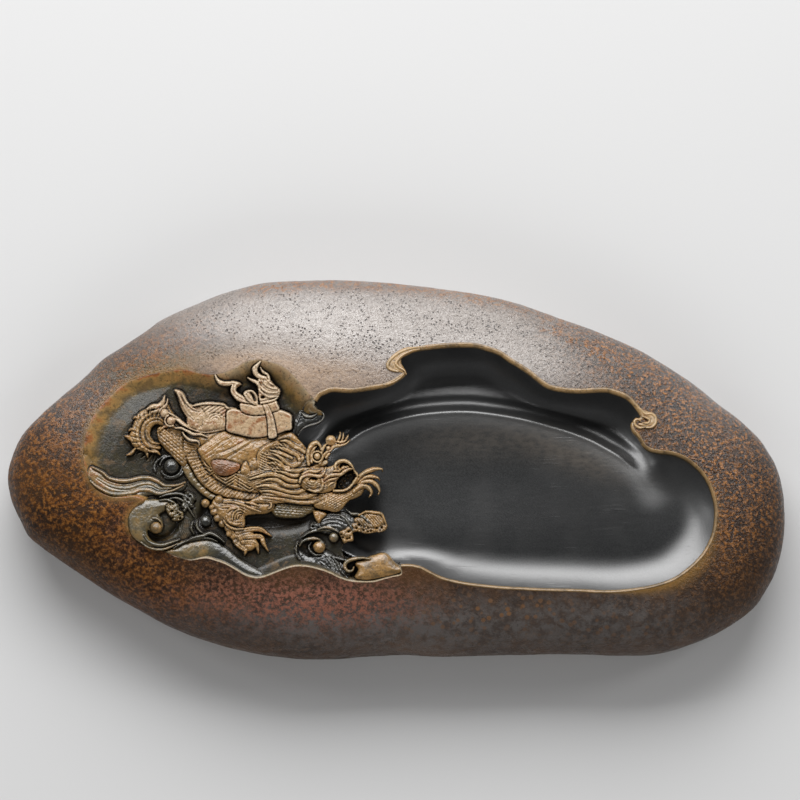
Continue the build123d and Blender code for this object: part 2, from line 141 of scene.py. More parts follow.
def ease(t):
    t = np.clip(t, 0.0, 1.0)
    return t * t * (3.0 - 2.0 * t)


def curve(points, closed=False, parts=5):
    """A smooth line through the points, as a Catmull-Rom spline."""
    p = trace(points)
    count = len(p)
    at = np.arange(count if closed else count - 1)
    a, b, c, d = [p[k % count if closed else np.clip(k, 0, count - 1)] for k in (at - 1, at, at + 1, at + 2)]
    second, third = 2 * a - 5 * b + 4 * c - d, 3 * b - a - 3 * c + d
    shares = [k / parts for k in range(parts)]
    line = [0.5 * (2 * b + (c - a) * t + second * t * t + third * t ** 3) for t in shares]
    line = np.stack(line, 1).reshape(-1, 2)
    return line if closed else np.vstack([line, p[-1]])


def lattice(ix, iy, seed):
    """A number from 0 to 1 for each cell of a grid, the same each time."""
    n = np.sin(ix * 127.1 + iy * 311.7 + seed * 74.7) * 43758.5453
    return n - np.floor(n)


def noise(x, y, size, seed):
    """Smooth noise from -1 to 1, with features of this size."""
    ix, iy = np.floor(x / size), np.floor(y / size)
    fx, fy = ease(x / size - ix), ease(y / size - iy)
    low = lattice(ix, iy, seed) * (1 - fx) + lattice(ix + 1, iy, seed) * fx
    high = lattice(ix, iy + 1, seed) * (1 - fx) + lattice(ix + 1, iy + 1, seed) * fx
    return (low * (1 - fy) + high * fy) * 2 - 1


def blur(field, cells):
    """The mean over a square that reaches this many cells each way."""
    for axis in (0, 1):
        pad = [(cells + 1, cells) if a == axis else (0, 0) for a in (0, 1)]
        total = np.cumsum(np.pad(field, pad, mode="edge"), axis=axis)
        first = np.arange(field.shape[axis])
        step = 2 * cells + 1
        field = (np.take(total, first + step, axis=axis) - np.take(total, first, axis=axis)) / step
    return field


def nearest(points, u, v, closed=False):
    """Distance to a line, how far along it the nearest point is from 0 to 1, and the side.

    Round a closed line the distance is positive inside it and negative outside.
    """
    p = trace(points)
    q = np.roll(p, -1, axis=0) if closed else p[1:]
    p = p if closed else p[:-1]
    steps = np.hypot(*(q - p).T)
    begin = np.concatenate([[0], np.cumsum(steps)])
    best = np.full(u.shape, 1e9)
    along = np.zeros(u.shape)
    side = np.zeros(u.shape)
    inside = np.zeros(u.shape, bool)
    for (x0, y0), (x1, y1), start, step in zip(p, q, begin, steps):
        dx, dy = x1 - x0, y1 - y0
        t = np.clip(((u - x0) * dx + (v - y0) * dy) / (dx * dx + dy * dy + 1e-9), 0, 1)
        d = (u - x0 - t * dx) ** 2 + (v - y0 - t * dy) ** 2
        closer = d < best
        best = np.where(closer, d, best)
        along = np.where(closer, start + t * step, along)
        if closed:
            inside ^= ((y0 > v) != (y1 > v)) & (u < dx * (v - y0) / (dy if dy else 1e-9) + x0)
        else:
            side = np.where(closer, dx * (v - y0) - dy * (u - x0), side)
    best = np.sqrt(best)
    return np.where(inside, best, -best) if closed else best, along / begin[-1], side


def spot(u, v, middle_u, middle_v, reach_u, reach_v, lean=0.0):
    """1 at a place of the photograph, fading out over these reaches, turned by lean degrees."""
    c, s = math.cos(math.radians(lean)), math.sin(math.radians(lean))
    du, dv = u - middle_u, v - middle_v
    return np.exp(-(((du * c + dv * s) / reach_u) ** 2 + ((dv * c - du * s) / reach_v) ** 2))


def spots(u, v, rows):
    """The sum of some spots, each with its strength first."""
    return sum(strength * spot(u, v, *where) for strength, *where in rows)


def toward(u, v, from_u, over_u, from_v, over_v):
    """1 in one corner of the photograph, fading in past these pixels over these reaches.

    A reach below zero fades in to the left or upward.
    """
    return ease((u - from_u) / over_u) * ease((v - from_v) / over_v)


def streak(u, v, line, width):
    """1 along a line of the photograph, fading out over this width."""
    return np.exp(-(nearest(curve(line, parts=3), u, v)[0] / width) ** 2)


# The stone's own shape: an outline, and one profile from its top round to its base.
shown = curve(SILHOUETTE_PX, closed=True, parts=4)
shown_x, shown_y = place(*shown.T, WIDEST_LEVEL)
shown_y = shown_y * (1 - np.where(shown_y > 0, SHOWN_ABOVE, SHOWN_BELOW))
turned = np.arctan2(shown_y, shown_x)
order = np.argsort(turned)
turn_table = turned[order]
reach_table = np.hypot(shown_x, shown_y)[order]
PROFILE_STEPS = 1200
PROFILE_SMOOTHINGS = 900
SKIN_REACH = PROFILE[-1][0]
profile_at = np.linspace(0, SKIN_REACH, PROFILE_STEPS)
profile_share, profile_height = [np.interp(profile_at, *np.array(PROFILE).T[[0, k]]) for k in (1, 2)]
for row in (profile_share, profile_height):
    for _ in range(PROFILE_SMOOTHINGS):
        row[1:-1] = (row[:-2] + row[2:]) / 4 + row[1:-1] / 2
rising = profile_at < WIDEST_AT


def reach(angle):
    return np.interp(angle, turn_table, reach_table, period=math.tau)


def outward(x, y):
    """How far out a place is, as a share of the outline, and how far that is along the skin."""
    share = np.hypot(x, y) / reach(np.arctan2(y, x))
    return share, np.interp(share, profile_share[rising], profile_at[rising])


def skin_level(x, y):
    """The level of the stone's skin over this place."""
    return np.interp(outward(x, y)[1], profile_at, profile_height) * THICKNESS


def skin_under(u, v):
    """The skin's level where it shows at this pixel."""
    level = np.full(np.shape(u), 37.0)
    for _ in range(8):
        level = skin_level(*place(u, v, level))
    return level


def unrolled(x, y):
    """A place on the skin's top, as the plane that the skin's mesh is laid out on."""
    share, at = outward(x, y)
    factor = at / np.maximum(share, 1e-6)
    return x * factor, y * factor


def on_skin(pixels):
    level = skin_under(*pixels.T)
    return (*place(*pixels.T, level), level)


def corners(shape):
    """For each face of a grid, the places of its four corners among the grid's flattened points."""
    index = np.arange(shape[0] * shape[1]).reshape(shape)
    return np.stack([index[:-1, :-1], index[:-1, 1:], index[1:, 1:], index[1:, :-1]]).reshape(4, -1)


NO_TRIS = np.zeros((0, 3), np.int64)
slot_of = {part["node"]: part["material_slot"] for part in frame["record"]["subparts"]}


def make_piece(name, xyz, quads, masks, node, tris=NO_TRIS, normals=None):
    """A smooth mesh with its masks, riding on the stone and shown in place of a node."""
    points = np.stack(xyz, -1).reshape(-1, 3)
    ends = np.concatenate([quads.ravel(), tris.ravel()])
    used = np.unique(ends)
    renumber = np.zeros(len(points), np.int64)
    renumber[used] = np.arange(len(used))
    starts = np.concatenate([np.arange(len(quads)) * 4, len(quads) * 4 + np.arange(len(tris)) * 3])
    mesh = bpy.data.meshes.new(name)
    mesh.vertices.add(len(used))
    mesh.vertices.foreach_set("co", (points[used] * MM).astype(np.float32).ravel())
    mesh.loops.add(len(ends))
    mesh.loops.foreach_set("vertex_index", renumber[ends].astype(np.int32))
    mesh.polygons.add(len(starts))
    mesh.polygons.foreach_set("loop_start", starts.astype(np.int32))
    mesh.update(calc_edges=True)
    mesh.polygons.foreach_set("use_smooth", np.ones(len(starts), bool))
    for key, mask in masks.items():
        mask = np.broadcast_to(mask, xyz[2].shape).ravel()[used].astype(np.float32)
        mesh.attributes.new(key, "FLOAT", "POINT").data.foreach_set("value", mask)
    if normals is not None:
        mesh.normals_split_custom_set_from_vertices(normals.reshape(-1, 3)[used])
    mesh.validate()
    piece = bpy.data.objects.new(name, mesh)
    bpy.context.scene.collection.objects.link(piece)
    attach(piece, "root")
    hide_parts(node)
    return piece


# Openings in the skin: the well's lip and the carved field.
well_px = np.concatenate([
    curve(LIP_PX, parts=4), curve(HIDDEN_PX[::-1], parts=3), curve(TONGUE_PX[::-1], parts=3)[1:],
])
field_px = np.concatenate([
    curve(line, parts=parts)[:-1]
    for line, parts in (
        (FIELD_EDGE_PX, 4), (TONGUE_PX, 4), (HIDDEN_PX, 3), (FIELD_CORNER_PX, 3), (FIELD_LOWER_PX, 4),
    )
])

# The skin's masks, each as spots: how strong, the middle, the reaches and the lean.
SKIN_SPOTS_PX = {
    "rust": [
        (1.0, 40, 450, 70, 70), (0.8, 95, 500, 60, 50, 20), (0.75, 130, 370, 75, 26, -28),
        (0.55, 150, 575, 60, 30, 25), (0.8, 722, 520, 22, 44), (0.7, 700, 455, 26, 14, 35),
        (0.5, 765, 500, 22, 50), (0.35, 640, 385, 60, 30, 25),
    ],
    # The grey spots are partly a painted sheen on the upper band.
    "grey_and_sheen": [(1.0, 330, 330, 190, 52, 4), (0.9, 520, 345, 100, 36, 20)],
    "red": [(1.0, 265, 600, 110, 22, 3), (0.8, 350, 600, 60, 20), (0.5, 130, 520, 30, 40)],
    "slate": [(1.0, 480, 622, 180, 30), (0.6, 640, 620, 80, 34), (0.7, 300, 625, 130, 22, 5)],
    "specks": [(1.0, 500, 608, 70, 16), (0.6, 620, 625, 60, 14), (0.4, 440, 625, 60, 14)],
    "olive": [(1.0, 270, 372, 30, 16), (1.0, 160, 366, 60, 10, -12)],
    "pale": [(1.0, 330, 372, 60, 18, 6), (0.8, 225, 362, 40, 10)],
    "pitted": [(0.8, 400, 330, 250, 50, 6), (0.45, 700, 430, 90, 120), (0.4, 90, 400, 70, 60)],
    "peppered": [(1.0, 720, 440, 80, 110), (1.0, 670, 385, 60, 26, 35), (0.5, 600, 350, 50, 20, 20)],
    # Painted shade, that darkens the skin toward its ends and along parts of its edge.
    "painted_shade": [
        (1.0, 20, 480, 110, 110), (0.4, 100, 370, 50, 40, -30), (1.3, 775, 500, 60, 150),
        (0.5, 640, 620, 110, 40), (0.45, 690, 420, 50, 26, 40),
    ],
    "peel": [
        (1.0, 640, 370, 120, 60, 28), (1.0, 720, 470, 70, 120), (0.45, 470, 320, 120, 30, 6),
        (0.5, 110, 390, 80, 50, -35),
    ],
}
RIM_SPOTS_PX = [(1.0, 690, 568, 40, 30, -35), (0.6, 712, 500, 16, 40), (0.5, 640, 588, 30, 12)]
RUST_STREAK_PX = trace("600,352 625,364 650,376 676,390 704,412 724,436 738,462")
RUST_UPPER_PX = trace("545,330 575,340 605,352")
TOP_RIM_PX = trace("250,286 330,281 420,287 500,299 560,318 620,342 680,376")
PITTED_ALL_OVER = 0.25
STRONGEST = 1.3


def skin_masks(u, v):
    """Where the skin is rusty, grey with painted sheen, red-brown, in painted shade, pitted and so on."""
    masks = {mask: spots(u, v, rows) for mask, rows in SKIN_SPOTS_PX.items()}
    wander = 6 * noise(u, v, 22.0, 11)
    masks["rust"] += 1.1 * streak(u, v + wander, RUST_STREAK_PX, 9)
    masks["rust"] += 0.9 * streak(u, v + wander, RUST_UPPER_PX, 6)
    masks["rust"] += 0.9 * streak(u, v + wander / 2, TOP_RIM_PX, 8)
    masks["pitted"] += PITTED_ALL_OVER
    under_rust = 0.75 * streak(u, v + wander, RUST_STREAK_PX, 6)
    masks["peppered"] = np.clip(masks["peppered"], 0, 1) * (1 - under_rust)
    return {mask: np.clip(value, 0, STRONGEST) for mask, value in masks.items()}


SKIN_STEP = 0.56
NEAR_AN_OPENING = 15
CALM_NEAR_OPENING = 7.0
CALM_NEAR_BASE = 6.0
UNWORN_NEAR_OPENING = 2.0
LIFT = 0.8
TURNS_OUTWARD_OVER = 0.35
# How far the ochre of an edge reaches over the skin, and in which corners of the photograph it does.
SHARP_RIM = 0.5
BROAD_RIM = 4.6
LEFT_RIM = 2.2
PALE_RIM = 4.5
LEFT_CORNER_PX = (235, -60, 560, -40)
BLEND_CORNER_PX = (205, 25, 420, -20)
# The skin's low bumps: how high, how wide, and a seed.
SWELLS = [(0.5, 38.0, 1), (0.22, 15.0, 2), (0.1, 6.0, 3)]
WEAR = [(0.05, 2.4, 4)]


def bumps(x, y, rows):
    return sum(height * noise(x, y, size, seed) for height, size, seed in rows)


def rim_masks(masks, u, v, well, field):
    """Adds the ochre and the pale tone that the skin has beside its openings."""
    by_the_well = np.minimum(well, 0.0)
    by_an_opening = np.minimum(np.maximum(well, field), 0.0)
    broad = np.clip(spots(u, v, RIM_SPOTS_PX), 0, 1)
    masks["rim"] = 0.8 * np.exp(by_the_well / SHARP_RIM) + 1.1 * broad * np.exp(by_the_well / BROAD_RIM)
    masks["rim"] += 0.7 * np.exp(by_an_opening / LEFT_RIM) * toward(u, v, *LEFT_CORNER_PX)
    blend = toward(u, v, *BLEND_CORNER_PX) * np.exp(np.minimum(field, 0.0) / PALE_RIM)
    masks["pale"] = np.clip(masks["pale"] + 0.9 * blend, 0, 1.2)


def opening_depth(outline, A, B):
    """How deep each point of the skin's grid is inside an opening, and far below zero elsewhere."""
    line = np.stack(unrolled(*on_skin(outline)[:2]), 1)
    low, high = line.min(0) - NEAR_AN_OPENING, line.max(0) + NEAR_AN_OPENING
    box = np.ix_((B[:, 0] > low[1]) & (B[:, 0] < high[1]), (A[0] > low[0]) & (A[0] < high[0]))
    depth = np.full(A.shape, -1e3)
    depth[box] = nearest(line, A[box], B[box], closed=True)[0]
    return depth


def cut_grid(A, B, f):
    """The part of the skin's grid where f is above zero, as moved points, quads and triangles.

    Points close to the cut move onto it, so that its edge is smooth.
    """
    slope_b, slope_a = np.gradient(f, SKIN_STEP)
    size = slope_a * slope_a + slope_b * slope_b + 1e-6
    near = np.abs(f) < SKIN_STEP * 0.5
    c = corners(A.shape)
    state = np.where(near, 0, np.where(f > 0, 1, -1)).ravel()[c]
    quads = c[:, (state.min(0) >= 0) & (state.max(0) > 0)].T
    tris = []
    for bad in range(4):
        others = [(bad + k) % 4 for k in (1, 2, 3)]
        good = (state[bad] < 0) & (state[others].min(0) >= 0) & (state[others].max(0) > 0)
        tris.append(c[others][:, good].T)
    A, B = [np.where(near, side - f * slope / size, side) for side, slope in ((A, slope_a), (B, slope_b))]
    return A, B, quads, np.concatenate(tris)


def skin_mesh():
    """The whole skin, laid out flat as a grid with its openings, then rolled over the stone."""
    spans = [side * SKIN_REACH / 2 + 1 for side in (LENGTH, WIDTH)]
    A, B = np.meshgrid(*[np.arange(-span, span, SKIN_STEP) for span in spans])
    full = reach(np.arctan2(B, A))
    edge = (SKIN_REACH - np.hypot(A, B) / full) * full
    well, field = [opening_depth(outline, A, B) for outline in (well_px, field_px)]
    opening = np.maximum(well, field)
    A, B, quads, tris = cut_grid(A, B, np.minimum(-opening, edge))
    far = np.maximum(np.hypot(A, B), 1e-6)
    at = far / reach(np.arctan2(B, A))
    inward = np.interp(at, profile_at, profile_share) / np.maximum(at, 1e-6)
    level = np.interp(at, profile_at, profile_height) * THICKNESS
    calm = ease(-opening / CALM_NEAR_OPENING) * ease(edge / CALM_NEAR_BASE)
    worn = ease(-opening / UNWORN_NEAR_OPENING)
    lift = (bumps(A, B, SWELLS) * calm + bumps(A, B, WEAR) * worn) * LIFT
    top = ease((WIDEST_AT - at) / TURNS_OUTWARD_OVER)
    factor = inward + lift * (1 - top) / far
    X, Y, Z = A * factor, B * factor, level + lift * top
    u, v = pixel(X, Y, Z)
    masks = skin_masks(u, v)
    rim_masks(masks, u, v, well, field)
    return make_piece("river_skin_rind", (X, Y, Z), quads, masks, "river_skin", tris)


# The lip's section, from the skin over the rim and down behind: how far outward, how high, and how
# much further in where the lip doesn't hang over.
LIP_SECTION = [
    (1.25, -0.2, 0.0), (1.0, 0.02, 0.0), (0.6, 0.13, 0.0), (0.2, 0.08, 0.0), (-0.12, -0.07, -0.05),
    (-0.34, -0.28, -0.25), (-0.46, -0.7, -0.4), (-0.46, -1.3, -0.6), (-0.3, -2.0, -0.8),
    (0.2, -2.8, -1.1), (1.2, -3.5, -1.4), (3.0, -4.2, -1.8), (7.0, -4.6, -2.0),
]
LIP_STRATA = ([0, 0.1, 0.5, 1.2, 2.2], [0.42, 0.46, 0.55, 0.8, 1.0])
HANGS_OVER_TO = 0.52
LOWER_LIP_SHARE = 0.8


def lip_strip():
    """The cut edge of the well: rounded over, with the upper side drawn back underneath."""
    line = curve(LIP_PX, parts=7)
    x, y, level = on_skin(line)
    run = np.gradient(np.stack([x, y], 1), axis=0)
    run = run / np.hypot(*run.T)[:, None]
    for _ in range(2):
        run[1:-1] = (run[:-2] + run[1:-1] * 2 + run[2:]) / 4
    run_x, run_y = (run / np.hypot(*run.T)[:, None]).T
    over = ease((HANGS_OVER_TO - np.linspace(0, 1, len(line))) / 0.07)
    lower = (1 - over) * LOWER_LIP_SHARE
    outward_by, rise, slack = np.array(LIP_SECTION).T[:, :, None]
    shift = outward_by * over + (np.where(outward_by > 0, 0.5, 1.0) * outward_by + slack) * lower
    xyz = (x - run_y * shift, y + run_x * shift, level + rise * (over + lower))
    masks = {"strata": np.interp(-rise, *LIP_STRATA), "hollow_shade": 0.0, "ruddy": 0.0, "light": 0.0}
    return make_piece("well_lip", xyz, corners(xyz[0].shape).T, masks, "river_skin")


WELL_STEP = 0.5
# How wide the lower wall is, by the pixel column.
LOWER_WALL = ([400, 425, 450, 640, 715], [4, 9, 15, 16, 14])
UPPER_WALL = 11.0
FIGURE_WALL = (10.0, 3.5)
POOL_SLOPE = 4.6
CREST_BEAD = 0.22
# The hall's slight dish: how deep, and for each way its middle and how far it reaches.
HALL_DISH = 0.35
DISH_X = (25, 40)
DISH_Y = (-8, 18)
HALL_FROM_PX = 560
HALL_TO_PX = 412
STEEPER_BELOW_PX = (515, 35)
CREST_FADES_FROM = 0.86
UNDER_THE_SKIN = 0.35
SKIN_RIM_FROM = 35.2
SMOOTHED_SPOTS_PX = [(1.0, 650, 468, 26, 18), (1.2, 428, 558, 44, 18)]
DUSTY_SPOTS_PX = [(1.0, 575, 455, 60, 16, 20), (0.5, 470, 440, 60, 20)]
# Painted shade, darker over the middle and right of the hall.
HALL_SHADE_SPOTS_PX = [(1.0, 580, 515, 90, 36, 8), (0.5, 480, 540, 60, 20)]


def well_rim():
    """The well's edge as a loop, with its middle, and by angle its level and its wall's width."""
    lower = curve(LIP_PX[LOWER_LIP_FROM:], parts=3)
    upper = curve(UNDER_LIP_PX, parts=3)
    figure = curve(UNDER_FIGURE_PX, parts=4)
    x, y, lip_level = on_skin(lower)
    lower_edge = np.stack([x, y], 1)
    upper_edge = np.stack(place(*upper.T, EAVE_RIM - 1), 1)
    figure_edge = np.stack(place(*figure.T, FIGURE_RIM), 1)
    edge = np.concatenate([lower_edge, upper_edge, figure_edge])
    level = [lip_level - 0.5, np.full(len(upper), EAVE_RIM), np.full(len(figure), FIGURE_RIM)]
    wall = [
        np.interp(lower[:, 0], *LOWER_WALL), np.full(len(upper), UPPER_WALL),
        np.linspace(*FIGURE_WALL, len(figure)),
    ]
    middle = edge.mean(0)
    angle = np.mod(np.arctan2(*(edge - middle).T[::-1]), math.tau)
    order = np.argsort(angle)
    by_angle = np.stack([np.concatenate(level)[order], np.concatenate(wall)[order]])
    for _ in range(9):
        by_angle = (np.roll(by_angle, 1, axis=1) + by_angle * 2 + np.roll(by_angle, -1, axis=1)) / 4
    loop = np.concatenate([lower_edge, figure_edge[::-1], upper_edge[::-1]])
    return loop, middle, angle[order], *by_angle


def well_floor(X, Y):
    """The floor's level without walls: the hall, and the pool behind its crest.

    Also gives how far behind the crest each point is, and how much of the crest is left there.
    """
    crest = np.stack(place(*curve(CREST_PX, parts=4).T, HALL_LEVEL), 1)
    behind, along, side = nearest(crest, X, Y)
    behind = np.where(side > 0, behind, -behind)
    fade = 1 - ease((along - CREST_FADES_FROM) / 0.14)
    low_y, high_y = [place(0, v, HALL_LEVEL)[1] for v in (HALL_FROM_PX, HALL_TO_PX)]
    slope = ease((high_y - Y) / (high_y - low_y)) ** 1.5
    dish = HALL_DISH * np.exp(-((X - DISH_X[0]) / DISH_X[1]) ** 2 - ((Y - DISH_Y[0]) / DISH_Y[1]) ** 2)
    hall = HALL_LEVEL + HALL_RISE * slope - dish
    drop = POOL_DROP * (1 - np.exp(-(np.maximum(behind, 0) / POOL_SLOPE) ** 1.25))
    ledge = 0.5 * ease((behind - 3.2) / 1.2) * ease((7.5 - behind) / 2.5)
    bead = CREST_BEAD * np.exp(-(behind / 0.8) ** 2)
    return hall + (ledge + bead - drop) * fade, behind, fade


def well_mesh():
    """The floor and walls inside the well, with the rubbed hall as a piece of its own."""
    loop, middle, angle, rim, wall = well_rim()
    low, high = loop.min(0) - 2, loop.max(0) + 2
    X, Y = np.meshgrid(*[np.arange(*ends, WELL_STEP) for ends in zip(low, high)])
    d = nearest(loop, X, Y, closed=True)[0]
    turn = np.mod(np.arctan2(Y - middle[1], X - middle[0]), math.tau)
    rim, wall = [np.interp(turn, angle, row, period=math.tau) for row in (rim, wall)]
    floor, behind, fade = well_floor(X, Y)
    soft_d = d + (blur(blur(d, 4), 4) - d) * ease((d - 0.5) / 3)
    _, row = pixel(X, Y, HALL_LEVEL)
    power = 2.3 - 0.4 * ease((row - STEEPER_BELOW_PX[0]) / STEEPER_BELOW_PX[1])
    Z = floor + (rim - floor) * np.clip(1 - soft_d / wall, 0, 1.05) ** power
    u, v = pixel(X, Y, Z)
    Z = Z + (blur(blur(Z, 7), 7) - Z) * np.clip(spots(u, v, SMOOTHED_SPOTS_PX), 0, 1)
    Z = np.minimum(blur(Z, 1), skin_level(X, Y) - UNDER_THE_SKIN)
    Z = Z + 0.006 * noise(X * 0.35, Y * 2.2, 1.4, 21) + 0.03 * noise(X, Y, 9.0, 22)
    slope_y, slope_x = np.gradient(Z, WELL_STEP)
    normals = np.stack([-slope_x, -slope_y, np.ones_like(Z)], -1)
    normals = normals / np.linalg.norm(normals, axis=-1, keepdims=True)
    c = corners(X.shape)
    inside = d.ravel()[c].min(0) > -1.2
    in_hall = (behind.ravel()[c].max(0) < -0.1) & (d.ravel()[c].min(0) > 9.5)
    u, v = pixel(X, Y, Z)
    worn = np.clip(-behind / 10, 0, 1) * fade + np.clip(np.abs(behind) / 10, 0, 1) * (1 - fade)
    masks = {
        "strata": np.clip(1.0 - 0.65 * np.exp(-np.maximum(d, 0) / 0.55) * (rim > SKIN_RIM_FROM), 0, 1),
        "dusty": np.clip(spots(u, v, DUSTY_SPOTS_PX), 0, 1),
        "worn": blur(blur(worn * ease((soft_d - 5) / 11), 3), 3),
        # Painted shade on the hall.
        "dark": np.clip(spots(u, v, HALL_SHADE_SPOTS_PX), 0, 1),
    }
    return {
        name: make_piece(name, (X, Y, Z), c[:, inside & part].T, masks, node, normals=normals)
        for name, part, slot, node in (
            ("rubbed_hall", in_hall, "rubbed_slate", "ink_hall"),
            ("well_walls", ~in_hall, "slate", "slate_core"),
        )
    }


BASE_SIDES = 720
# The base's rings: the share of the outline, and the level.
BASE_RINGS = [(0.93, 0.05), (0.925, 0.0), (0.6, 0.0), (0.3, 0.0), (0.02, 0.0)]


def sawn_base():
    """The flat sawn underside, with its small worn edge."""
    angles = np.linspace(-math.pi, math.pi, BASE_SIDES + 1)[:-1]
    share, level = np.array(BASE_RINGS).T[:, :, None]
    far = reach(angles) * share
    index = np.arange(far.size).reshape(far.shape)
    after = np.roll(index, -1, axis=1)
    quads = np.stack([index[:-1], index[1:], after[1:], after[:-1]], -1).reshape(-1, 4)
    xyz = (far * np.cos(angles), far * np.sin(angles), level + np.zeros(far.shape))
    masks = {"strata": 1.0, "dusty": 0.0, "worn": 0.0, "dark": 0.0}
    return make_piece("sawn_base", xyz, quads, masks, "slate_core")


pieces = {"rind": skin_mesh(), "lip": lip_strip(), **well_mesh(), "base": sawn_base()}

# The carving is a relief laid out on the photograph's own pixels, and each point is placed from there.
STEP_PX = 0.5
FLOOR_LEVEL = 33.2
VOID = "void"
CARVED_WINDOW_PX = (78, 412, 352, 592)


def tapered(size, along, first, last, share):
    """A size along a line, that falls to these shares of it at the line's two ends."""
    size = size * (first + (1 - first) * np.clip(along / share, 0, 1))
    return size * (last + (1 - last) * np.clip((1 - along) / share, 0, 1))


class Relief:
    """Levels over a grid of the photograph's pixels, worked from the ground up."""

    def __init__(self, left, right, top, bottom):
        self.corner = np.array([left, top])
        self.u, self.v = np.meshgrid(np.arange(left, right, STEP_PX), np.arange(top, bottom, STEP_PX))
        self.z = np.full(self.u.shape, FIELD_LEVEL)
        self.who = np.zeros(self.u.shape, int)
        self.names = [VOID]
        self.strata = np.full(self.u.shape, 0.75)
        self.ruddy = np.zeros(self.u.shape)
        # Painted highlight, laid along crests and worked lines.
        self.light = np.zeros(self.u.shape)

    def number(self, name):
        if name not in self.names:
            self.names.append(name)
        return self.names.index(name)

    def owned(self, name):
        """Where a piece is the one on top."""
        return self.who == self.number(name)

    def near(self, line, margin, closed=False):
        """The grid's part round a line, its pixels, and how near, along and beside the line they are."""
        low = np.maximum((line.min(0) - margin - self.corner) / STEP_PX, 0).astype(int)
        high = np.maximum((line.max(0) + margin - self.corner) / STEP_PX + 1, 0).astype(int)
        box = (slice(low[1], high[1]), slice(low[0], high[0]))
        u, v = self.u[box], self.v[box]
        return (box, u, v, *nearest(line, u, v, closed))

    def set(self, box, name, inside, level, strata, trench, away):
        """Puts a piece where it stands higher, with a trench cut round it."""
        z = self.z[box] - trench * np.exp(-(np.maximum(away, 0) / 0.9) ** 2) * (self.who[box] > 0)
        higher = inside & (level > z)
        self.z[box] = np.where(higher, level, z)
        self.who[box] = np.where(higher, self.number(name), self.who[box])
        self.strata[box] = np.where(higher, strata, self.strata[box])

    def form(self, name, outline, top, round_px, drop, strata=0.45, trench=0.35, lean=(0, 0)):
        """A closed form, rounded over toward its edge by drop millimetres."""
        line = curve(outline, closed=True, parts=3)
        box, u, v, d, _, _ = self.near(line, 4, closed=True)
        t = np.clip(1 - d / round_px, 0, 1)
        level = FIELD_LEVEL + top - drop * (1 - np.sqrt(1 - t * t))
        middle_u, middle_v = line.mean(0)
        level = level + lean[0] * (u - middle_u) + lean[1] * (v - middle_v)
        self.set(box, name, d > 0, level, strata, trench, -d)

    def strand(self, name, line, width, top, strata=0.45, drop=None, trench=0.3, taper=(1.0, 1.0),
               smooth=True, end_top=None):
        """A round strand, its top at this level, thinning toward its ends."""
        line = trace(line)
        line = curve(line, parts=4) if smooth and len(line) > 2 else line
        box, _, _, d, along, _ = self.near(line, width + 4)
        wide = np.maximum(tapered(width, along, *taper, 0.35), 0.35)
        drop = width * PX_X * 0.9 if drop is None else drop
        here = top if end_top is None else top + (end_top - top) * along
        level = FIELD_LEVEL + here - drop * (1 - np.sqrt(1 - np.clip(d / wide, 0, 1) ** 2))
        self.set(box, name, d < wide, level, strata, trench, d - wide)

    def strands(self, groups, **how):
        """Strands of several pieces, each with its line, width, top and, where it differs, strata."""
        for name, rows in groups:
            for row in rows:
                self.strand(name, *row, **how)

    def ball(self, name, u, v, radius, top, strata=0.45, trench=0.4):
        short = [(u - 0.01, v), (u + 0.01, v)]
        self.strand(name, short, radius, top, strata, radius * PX_X * 0.95, trench, smooth=False)

    def balls(self, rows):
        for row in rows:
            self.ball(*row)

    def work(self, line, width, rise, light=0.0, smooth=True, taper=(0.3, 0.3)):
        """A cut, or a raised line where rise is above zero, that follows the form under it."""
        line = trace(line)
        line = curve(line, parts=4) if smooth and len(line) > 2 else line
        box, _, _, d, along, _ = self.near(line, width * 2.5)
        shape = np.exp(-(d / width) ** 2) * tapered(1, along, *taper, 0.25) * (self.who[box] > 0)
        self.z[box] += rise * shape
        # The light argument paints a highlight along the line.
        if light:
            self.light[box] = np.clip(self.light[box] + light * shape, 0, 1)

    def cuts(self, rows, **how):
        """Lines to work, each with its width, its rise and, where it has one, its painted highlight."""
        for row in rows:
            self.work(*row, **how)

    def hatch(self, outline, spacing, degrees, depth, wave=0.0):
        """Rows of fine cuts over an outline."""
        box, u, v, d, _, _ = self.near(curve(outline, closed=True, parts=3), 2, closed=True)
        c, s = math.cos(math.radians(degrees)), math.sin(math.radians(degrees))
        across = v * c - u * s + wave * np.sin((u * c + v * s) * 0.6)
        row = np.cos(across / spacing * math.tau)
        self.z[box] -= depth * np.clip(row, 0, 1) * ease(d / 1.2)

    def hair(self, outline, lines, spacing, depth):
        """Fine lines that run along the nearest of these flow lines."""
        box, u, v, inside, _, _ = self.near(curve(outline, closed=True, parts=3), 2, closed=True)
        best = np.full(u.shape, 1e9)
        for line in lines:
            d, _, side = nearest(curve(line, parts=3), u, v)
            best = np.where(d < np.abs(best), d * np.sign(side + 1e-9), best)
        row = 0.5 + 0.5 * np.cos(best / spacing * math.tau)
        self.z[box] -= depth * row ** 2 * ease(inside / 1.5)

    def scales(self, outline, size, depth, degrees=0.0):
        """Overlapping scales, each a small arc cut into the form."""
        box, u, v, d, _, _ = self.near(curve(outline, closed=True, parts=3), 2, closed=True)
        c, s = math.cos(math.radians(degrees)), math.sin(math.radians(degrees))
        down = (v * c - u * s) / (size * 0.62)
        row = np.floor(down)
        across = (u * c + v * s) / size + 0.5 * np.mod(row, 2)
        arc = np.hypot((across - np.floor(across) - 0.5) * 1.25, (down - row) * 0.9)
        level = 0.5 * (1 - arc) - 0.9 * np.exp(-((arc - 0.72) / 0.12) ** 2)
        self.z[box] += depth * level * ease(d / 1.2)

